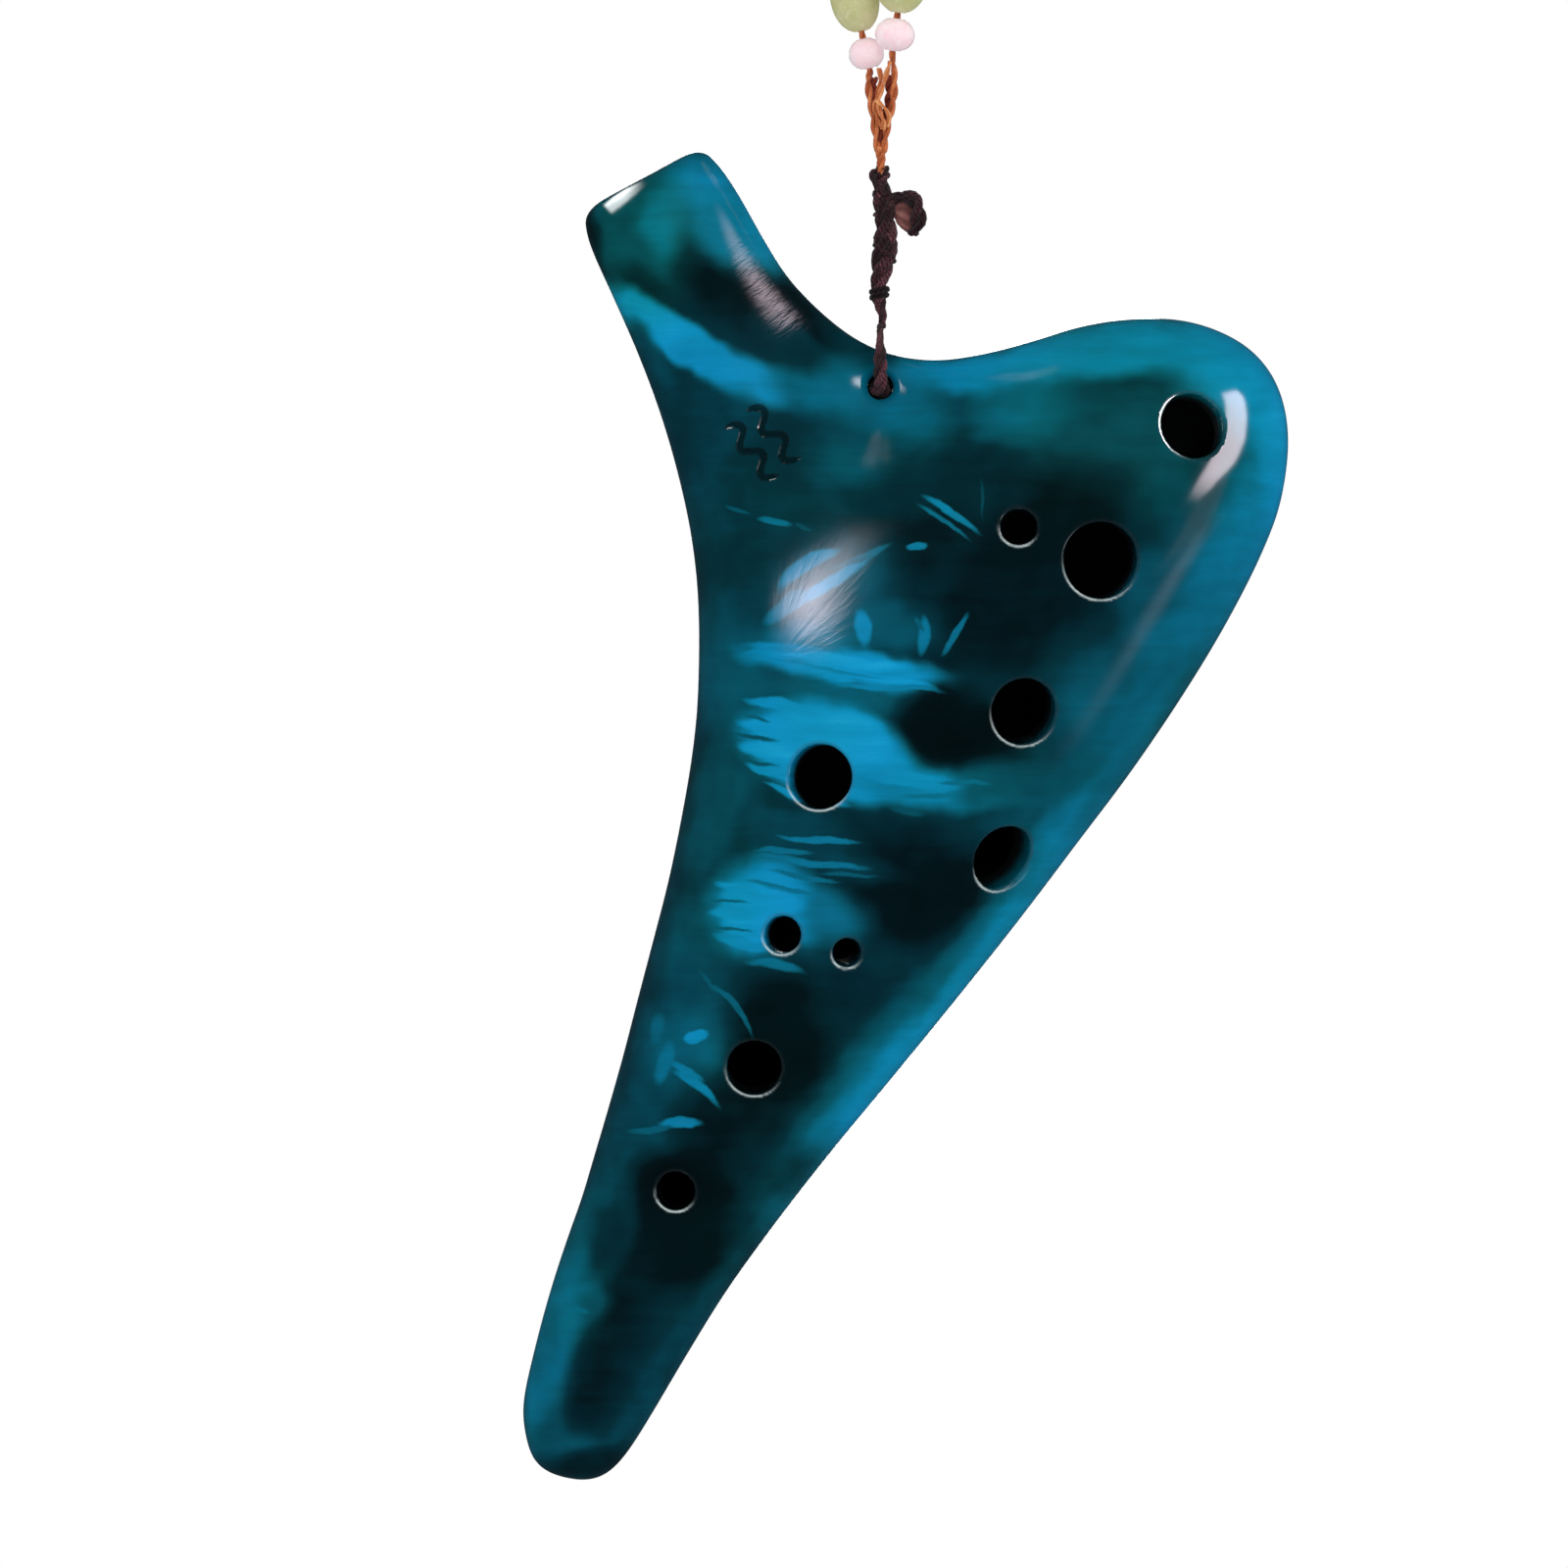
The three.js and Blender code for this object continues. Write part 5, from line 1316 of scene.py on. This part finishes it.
def strap_strands():
    """Loose strands between the hitch and the beads: crossed in front; those behind take a darker
    copy of the cord, painted shade.
    """
    bundle = Bundle()
    for points, shade, radius in [
        ([(-3.1725, -0.55, 185.895), (-3.051, -0.95, 186.975), (-3.483, -1.2, 188.325),
          (-3.753, -1.25, 189.81), (-3.429, -1.3, 191.16), (-2.943, -1.45, 192.645),
          (-2.484, -1.9, 194.13), (-2.106, -2.3, 195.345)], 0.66, 0.40),
        ([(-3.564, -0.5, 186.3), (-3.996, -0.75, 187.785), (-4.239, -0.85, 189),
          (-3.969, -0.7, 190.35), (-3.564, -0.5, 191.835), (-3.429, -0.2, 193.185),
          (-3.672, 0.3, 194.535)], 0.60, 0.38),
        ([(-4.077, -1.35, 190.08), (-3.294, -1.75, 189.3375), (-2.619, -1.3, 188.5275),
          (-2.241, -0.7, 187.515), (-2.3895, -0.35, 186.3)], 0.76, 0.32),
    ]:
        bundle.lay(smooth_path(points), radius, pitch=5.0, sides=12, phase=1.0,
                   shades=(shade, shade - 0.14))
    place_part(bundle.build("strap_crossed_strands", STRAP, rough=0.02, cell=0.4),
               "strap", "strap_cord", "strap_tail_front")
    bundle = Bundle()
    for points, radius in [
        ([(-3.402, 0.25, 183.6), (-3.429, 0.35, 185.22), (-3.591, 0.7, 186.84),
          (-4.131, 1.1, 188.73), (-4.401, 1.2, 190.35), (-4.374, 1.2, 191.97),
          (-4.347, 1.5, 193.32)], 0.60),
        ([(-3.321, 0.5, 184.14), (-3.024, 0.9, 186.84), (-2.538, 0.9, 189),
          (-2.295, 0.6, 190.62), (-2.241, 0.3, 192.24), (-2.16, 0.1, 193.59)], 0.58),
    ]:
        bundle.lay(smooth_path(points, 0.12), radius, pitch=3.6, sides=10, phase=0.2,
                   shades=(0.50, 0.36))
    place_part(bundle.build("strap_back_strands", STRAP_SHADED, rough=0.02, cell=0.4),
               "strap", "strap_cord", "strap_tail_back")


strap_gather()
strap_loop()
strap_strands()


# ---------------------------------------------------------------- beads
def make_bead(side, kind, shape, middle, axis, radius, half, material, seed, lumps):
    """A bored bead with a softly rounded mouth at each end of its bore."""
    edge, around = 0.22, 64
    top = math.acos((BORE + edge) / radius)
    end = half * math.sin(top)
    profile = [(radius * math.cos(a), half * math.sin(a)) for a in np.linspace(-top, top, 49)]
    lip = [(BORE + edge * math.cos(a), end + 0.05 * math.sin(a))
           for a in np.linspace(0.3, math.pi, 6)]
    bore = [(BORE, y) for y in np.linspace(end - 0.25, -end + 0.25, 9)]
    profile += lip + bore + [(x, -y) for x, y in reversed(lip)]
    out = unit(np.cross(axis, np.array([0, 1.0, 0])))
    other = np.cross(axis, out)
    points = np.array([
        middle + axis * y + (out * math.cos(a) + other * math.sin(a)) * x
        for x, y in profile for a in (TURN * k / around for k in range(around))])
    off = points - middle
    from_axis = np.linalg.norm(np.cross(off, axis), axis=1)
    swell = noise3(off * 0.22 + seed) * lumps * smoothstep(BORE + 0.1, BORE + 0.9, from_axis)
    points = points + off / np.linalg.norm(off, axis=1)[:, None] * swell[:, None]
    faces = []
    for i in range(len(profile)):
        here, there = i * around, (i + 1) % len(profile) * around
        for k in range(around):
            after = (k + 1) % around
            faces.append((here + k, here + after, there + after, there + k))
    bead = make_object(f"{kind}_bead_{side}_{shape}", points, faces, material)
    face_outwards(bead)
    place_part(bead, f"{kind}_bead_{side}", f"{kind}_bead", f"{kind}_bead_{side}")


def bead_material(name, base, deep, pale, glow, scatter, rough, coat):
    shader = material_shader(name)
    place = shader.place()
    cloud = shader.noise(place, scale=0.30, detail=4.0, rough=0.6, distort=0.5)
    vein = shader.noise(place, scale=1.1, detail=3.0, rough=0.55, distort=0.3)
    colour = shader.mix_colour(shader.step(cloud, 0.38, 0.66), deep, base)
    colour = shader.mix_colour(shader.step(vein, 0.5, 0.75) * 0.6, colour, pale)
    # The emission is painted light: the bead glows faintly in its base colour, as strong as glow.
    return shader.principled({
        "Base Color": colour, "Roughness": rough, "IOR": 1.25,
        "Normal": shader.bump(0.15, 0.0001, vein), "Subsurface Weight": 0.55,
        "Subsurface Radius": scatter, "Subsurface Scale": 0.0012, "Coat Weight": coat,
        "Coat Roughness": 0.08, "Transmission Weight": 0.12, "Emission Color": base,
        "Emission Strength": glow,
    })


# The pink beads' glow is painted light.
PINK = bead_material(
    "pink_glass", base=srgb(255, 236, 240), deep=srgb(252, 218, 226), pale=srgb(255, 248, 250),
    glow=0.10, scatter=(1.0, 0.7, 0.7), rough=0.14, coat=0.5)
JADE = bead_material(
    "green_jade", base=srgb(216, 214, 168), deep=srgb(202, 204, 146), pale=srgb(230, 230, 198),
    glow=0.0, scatter=(0.8, 1.0, 0.6), rough=0.34, coat=0.15)
make_bead("left", "pink", "round", PINK_LEFT, AXIS_LEFT,
          radius=2.43, half=2.3, material=PINK, seed=3.0, lumps=0.05)
make_bead("right", "pink", "round", PINK_RIGHT, AXIS_RIGHT,
          radius=2.75, half=2.4, material=PINK, seed=11.0, lumps=0.05)
make_bead("left", "green", "oval", GREEN_LEFT, AXIS_LEFT,
          radius=3.4, half=5.0, material=JADE, seed=23.0, lumps=0.10)
make_bead("right", "green", "oval", GREEN_RIGHT, AXIS_RIGHT,
          radius=3.8, half=5.0, material=JADE, seed=37.0, lumps=0.10)


# ---------------------------------------------------------------- inside the mouthpiece
def air_point(along, across, height):
    return LIPS + ALONG * along + ACROSS * across + HEIGHT * height


def skin_height(along, across):
    """Height of the outer skin above the windway's middle."""
    height = 4.0
    for _ in range(12):
        x, y, z = air_point(along, across, height)
        height += 0.7 * (skin_y(x, z) - y)
    return height


def make_labium():
    """The ramp beyond the window: a sharp edge in the airstream that rises to meet the skin."""
    rows, columns = 28, 20
    top, bottom = [], []
    for i in range(rows + 1):
        share = i / rows
        along = LABIUM_START + (LABIUM_END - LABIUM_START) * i / rows
        for k in range(columns + 1):
            across = WINDWAY_WIDTH / 2 * (2 * k / columns - 1)
            rise = share * share * (3 - 2 * share)
            height = mix(0.12, skin_height(along, across) - 0.25, rise)
            top.append(air_point(along, across, height))
            bottom.append(air_point(along, across, mix(-0.12, -1.25, share)))
    wide = columns + 1
    under = len(top)
    faces = []
    for i, k in itertools.product(range(rows), range(columns)):
        a = i * wide + k
        b = under + a
        faces.append((a, a + 1, a + wide + 1, a + wide))
        faces.append((b, b + wide, b + wide + 1, b + 1))
    for i in range(rows):
        a = i * wide
        b = a + columns
        faces.append((a, a + wide, under + a + wide, under + a))
        faces.append((b, under + b, under + b + wide, b + wide))
    for k in range(columns):
        a = rows * wide + k
        faces.append((k, under + k, under + k + 1, k + 1))
        faces.append((a, a + 1, under + a + 1, under + a))
    points = np.array(top + bottom)
    zeros = np.zeros(len(points))
    labium = make_object("labium_ramp", points, faces, GLAZE,
                         {"skin": zeros, "tone": tone(points), "rim": zeros})
    face_outwards(labium)
    labium.data.set_sharp_from_angle(angle=math.radians(35))
    place_part(labium, "ocarina", "glazed_ceramic", "labium")


def dress_block():
    """The CAD's own windway floor, in bare clay."""
    shader = material_shader("bare_clay")
    colour = shader.ramp(shader.noise(shader.place(), scale=0.9, detail=4.0),
                         [(0.3, srgb(14, 30, 34)), (0.7, srgb(28, 52, 58))])
    clay = shader.principled({"Base Color": colour, "Roughness": 0.5})
    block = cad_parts["windway_floor"]
    block.data.materials.clear()
    block.data.materials.append(clay)


make_labium()
dress_block()

# ---------------------------------------------------------------- camera and world
LENS, SENSOR = 400, 36
VIEW_WIDTH = 0.216  # metres, at y = 0
CAMERA_PLACE = (-0.01674, -VIEW_WIDTH * LENS / SENSOR, 0.09585)


def make_camera():
    data = bpy.data.cameras.new("camera")
    data.lens = LENS
    data.sensor_width = SENSOR
    camera = link_object("camera", data)
    camera.location = CAMERA_PLACE
    camera.rotation_euler = (math.radians(90), 0, 0)
    data.clip_start, data.clip_end = 0.05, 30
    SCENE.camera = camera
    SCENE.view_settings.view_transform = "Standard"
    SCENE.view_settings.look = "None"


def make_world():
    """White to the camera, a soft white light, and nearly black in reflections."""
    SCENE.world = bpy.data.worlds.new("studio")
    shader = Shader(SCENE.world)
    rays = shader.node("ShaderNodeLightPath").outputs
    white = shader.value(0, "ShaderNodeBackground", {0: (1, 1, 1, 1)})
    light = shader.value(0, "ShaderNodeBackground", {0: (1, 1, 1, 1), 1: 0.9})
    dark = shader.value(0, "ShaderNodeBackground", {0: (0.02, 0.028, 0.034, 1)})
    lit = shader.value(0, "ShaderNodeMixShader",
                       {0: Value(shader, rays["Is Glossy Ray"]), 1: light, 2: dark})
    shader.output("ShaderNodeMixShader",
                  {0: Value(shader, rays["Is Camera Ray"]), 1: lit, 2: white}, target="World")


# ---------------------------------------------------------------- lights
def card(name, azimuth, elevation, width, height, level, tint=(1, 1, 1), distance=0.6,
         diffuse=False, glossy=True):
    """A flat light aimed at the body's middle.  azimuth turns from the camera's side towards +X;
    it and elevation, width and height are degrees, distance metres, level the radiance."""
    turn, rise = math.radians(azimuth), math.radians(elevation)
    towards = Vector((math.cos(rise) * math.sin(turn), -math.cos(rise) * math.cos(turn),
                      math.sin(rise)))
    data = bpy.data.lights.new(name, "AREA")
    data.shape = "RECTANGLE"
    data.size = 2 * distance * math.tan(math.radians(width / 2))
    data.size_y = 2 * distance * math.tan(math.radians(height / 2))
    data.energy = level * math.pi * data.size * data.size_y
    data.color = tint
    light = link_object(name, data)
    light.location = Vector((-0.008, 0.0, 0.115)) + towards * distance
    light.rotation_euler = (-towards).to_track_quat("-Z", "Y").to_euler()
    light.visible_camera = False
    light.visible_diffuse = diffuse
    light.visible_glossy = glossy
    light.visible_transmission = False


def front_skin(x, z, exact):
    """Points of the front at x, z, their normals, and whether each has one.  exact follows the
    rims and holes as well as the outer skin."""
    square, slope_x, slope_z = OUTER_FIELD(x, z)
    y = np.sqrt(np.maximum(square, 0))
    if exact:
        points = np.stack([x, -(y + 1.0), z], 1)
        for _ in range(30):
            points[:, 1] += 0.7 * body_at(points)
        normals = body_gradient(points)
    else:
        points, normals = np.stack([x, -y, z], 1), np.stack([-slope_x, -2 * y, -slope_z], 1)
    length = np.linalg.norm(normals, axis=1)
    sound = length > 0
    return points, normals / np.where(sound, length, 1)[:, None], sound


def reflector_material(name, level, tint, soft, tail, head, streaks, grid):
    """Glow that fades to the edges (soft), the start (head) and the end (tail)."""
    shader = material_shader(name)
    along, across = shader.attribute("du"), shader.attribute("dv")
    off_middle = abs(shader.multiply_add(across, 2.0, -1.0))
    glow = shader.step(off_middle, 1.0, 1.0 - 2 * soft)
    glow = glow * shader.step(along, 0.0, head)
    glow = glow * shader.step(along, 1.0, 1.0 - tail)
    if streaks:
        streak = shader.noise(shader.combine(along * 34.0, across * 2.2, 0.0),
                              scale=1.0, detail=3.0, rough=0.65)
        glow = glow * shader.step(streak, 0.32, 0.66, start=1.0 - streaks, end=1.0)
    ray = shader.vector("NORMALIZE", shader.attribute("aim", "Vector"))
    incoming = shader.value("Incoming", "ShaderNodeNewGeometry")
    gone, full = (math.cos(math.radians(angle)) for angle in grid)
    glow = glow * shader.step(shader.vector("DOT_PRODUCT", ray, incoming), gone, full)
    emission = shader.value(0, "ShaderNodeEmission",
                            {"Color": (*tint, 1), "Strength": glow * level})
    clear = shader.value(0, "ShaderNodeBsdfTransparent")
    material = shader.output("ShaderNodeAddShader", {0: emission, 1: clear})
    material.cycles.emission_sampling = "NONE"
    return material


def reflector(name, left, right, distance, level, soft, tail, head, grid,
              tint=(1.0, 0.95, 0.98), streaks=0.0, exact=False, rows=25, columns=9):
    """A small bright card behind a honeycomb grid, set so that the camera sees it mirrored in the
    skin between two edges.  left and right are the edges, the same number of x, z points each;
    grid gives the angles off its own ray at which the light is gone and is full."""
    stations = np.linspace(0, len(left) - 1, rows)
    start, end = (np.stack([np.interp(stations, np.arange(len(left)), column)
                            for column in np.array(edge, float).T], 1) for edge in (left, right))
    shares = np.array([(i / (rows - 1), j / (columns - 1))
                       for i in range(rows) for j in range(columns)])
    across = shares[:, 1:]
    spots = np.repeat(start, columns, 0) * (1 - across) + np.repeat(end, columns, 0) * across
    points, normals, sound = front_skin(spots[:, 0], spots[:, 1], exact)
    to_eye = np.array(CAMERA_PLACE) / MM - points
    to_eye /= np.linalg.norm(to_eye, axis=1)[:, None]
    mirrored = 2 * (normals * to_eye).sum(1)[:, None] * normals - to_eye
    corners = [i * columns + j for i in range(rows - 1) for j in range(columns - 1)]
    faces = [(a, a + 1, a + columns + 1, a + columns) for a in corners]
    faces = [face for face in faces if sound[list(face)].all()]
    material = reflector_material(name, level, tint, soft, tail, head, streaks, grid)
    thing = make_object(name, points + mirrored * distance, faces, material,
                        {"du": shares[:, 0], "dv": shares[:, 1]})
    aim = thing.data.attributes.new("aim", "FLOAT_VECTOR", "POINT")
    aim.data.foreach_set("vector", (-mirrored).astype(np.float32).ravel())
    for rays in ("camera", "diffuse", "shadow", "transmission", "volume_scatter"):
        setattr(thing, "visible_" + rays, False)


def hole_glints():
    """The bright arc under the turned-over edge of each front hole."""
    for i, (point, normal, radius, _) in enumerate(BORES[:len(FRONT_HOLES)]):
        across = unit(np.array([1.0, 0, 0]) - normal * normal[0])
        upward = np.cross(across, normal)
        upward *= np.sign(upward[2])
        angles = np.radians(np.linspace(*((112, 262) if i == 0 else (168, 338)), 13))[:, None]
        around = np.cos(angles) * across + np.sin(angles) * upward
        outer, inner = ((point + around * (radius + off))[:, [0, 2]] for off in (0.62, 0.10))
        reflector(f"glint_hole_{i + 1}", outer, inner, distance=4,
                  level=2.1 if radius > 3 else 2.6, tint=(0.86, 1.0, 1.0), soft=0.45, tail=0.35,
                  head=0.35, exact=True, grid=(16, 7), rows=49, streaks=0.5)


make_camera()
make_world()
# A faint, broad sheen on the right.
card("right_strip", azimuth=64, elevation=-8, width=14, height=18, level=0.5,
     tint=(1.0, 0.95, 0.98))
# Broad light for the colour of things; it makes no highlights.
card("key", azimuth=20, elevation=35, width=60, height=60, level=0.55, diffuse=True,
     glossy=False, distance=1.2)
# Straight behind: it shapes the back in turned views.
card("back_strip", azimuth=180, elevation=3, width=11, height=30, level=4.5)

reflector(
    "shine_shoulder",
    [(42.93, 149.58), (43.47, 148.095), (43.47, 146.07), (42.93, 143.505), (41.85, 141.075),
     (40.5, 138.51), (39.015, 135.945), (38.205, 134.46)],
    [(45.225, 150.12), (46.575, 148.77), (46.98, 146.34), (46.71, 143.235), (45.495, 140.13),
     (43.2, 137.7), (40.77, 135.27), (39.15, 133.65)],
    distance=50, level=13.0, tint=(1.0, 0.83, 0.90), soft=0.14, tail=0.34, head=0.06,
    grid=(14, 6))
reflector(
    "shine_flank",
    [(42.39, 133.65), (38.34, 129.33), (35.37, 125.01), (32.67, 120.69), (27.81, 112.59),
     (21.87, 103.41), (17.01, 97.2)],
    [(45.63, 133.92), (41.85, 129.6), (38.88, 125.01), (36.18, 120.15), (31.05, 111.51),
     (24.84, 101.79), (19.71, 95.85)],
    distance=60, level=1.0, soft=0.5, tail=0.7, head=0.3, grid=(16, 7))
reflector(
    "shine_neck",
    [(-27, 175.77), (-26.055, 173.61), (-25.245, 170.91), (-24.3, 167.67), (-22.95, 164.16),
     (-20.25, 160.38), (-17.82, 157.41)],
    [(-26.055, 176.31), (-24.435, 174.285), (-22.95, 171.585), (-20.79, 168.21),
     (-17.955, 164.835), (-15.12, 161.46), (-13.77, 158.49)],
    distance=36, level=12.0, tint=(1.0, 0.80, 0.91), soft=0.46, tail=0.2, head=0.9, streaks=0.5,
    grid=(13, 6))
reflector(
    "shine_belly",
    [(-6.75, 133.65), (-12.96, 128.79), (-17.55, 124.74), (-19.17, 120.69), (-18.9, 117.45),
     (-17.01, 114.75)],
    [(-0.27, 132.3), (-3.51, 127.98), (-5.94, 123.66), (-7.29, 119.88), (-8.37, 116.64),
     (-10.53, 113.94)],
    distance=45, level=19.0, tint=(1.0, 0.86, 0.94), soft=0.5, tail=0.40, head=0.72, streaks=0.2,
    grid=(14, 6))
reflector(
    "shine_tip",
    [(-41.85, 175.5), (-40.5, 176.58), (-38.61, 177.795), (-35.91, 179.145)],
    [(-40.5, 173.88), (-38.88, 175.095), (-37.26, 176.445), (-35.37, 178.2)],
    distance=12, level=14.0, tint=(1.0, 1.0, 1.0), soft=0.3, tail=0.6, head=0.1, exact=True,
    grid=(13, 6))
reflector(
    "glint_left",
    [(-7.695, 152.01), (-7.56, 151.2), (-7.155, 150.39)],
    [(-5.805, 152.28), (-5.535, 151.335), (-5.67, 150.39)],
    distance=5, level=12.0, soft=0.4, tail=0.4, head=0.4, exact=True, grid=(11, 5))
hole_glints()
reflector(
    "glint_right",
    [(-1.2825, 151.47), (-1.1475, 150.66), (-1.0125, 149.715)],
    [(-0.81, 151.47), (-0.405, 150.66), (-0.27, 149.85)],
    distance=5, level=9.0, soft=0.4, tail=0.4, head=0.4, exact=True, grid=(11, 5))


# ---------------------------------------------------------------- floor
def make_floor():
    """A pale floor that fades into the white behind it."""
    half, front, back, level = 3, -3.2, 0.45, -0.075  # metres
    data = bpy.data.meshes.new("studio_floor")
    data.from_pydata([(-half, front, level), (half, front, level), (half, back, level),
                      (-half, back, level)], [], [(0, 1, 2, 3)])
    shader = material_shader("studio_floor")
    place = shader.value("Object", "ShaderNodeTexCoord")
    backwards = shader.step(shader.separate(place)[1], -0.25, 0.42)
    outwards = shader.step(shader.vector("LENGTH", place), 0.2, 1.1)
    matt = shader.value(0, "ShaderNodeBsdfPrincipled",
                        {"Base Color": (0.9, 0.9, 0.9, 1), "Roughness": 0.8})
    white = shader.value(0, "ShaderNodeEmission", {"Color": (1, 1, 1, 1), "Strength": 1.0})
    fade = shader.math("MAXIMUM", backwards, outwards)
    data.materials.append(shader.output("ShaderNodeMixShader", {0: fade, 1: matt, 2: white}))
    floor = link_object("studio_floor", data)
    floor.visible_glossy = False


make_floor()
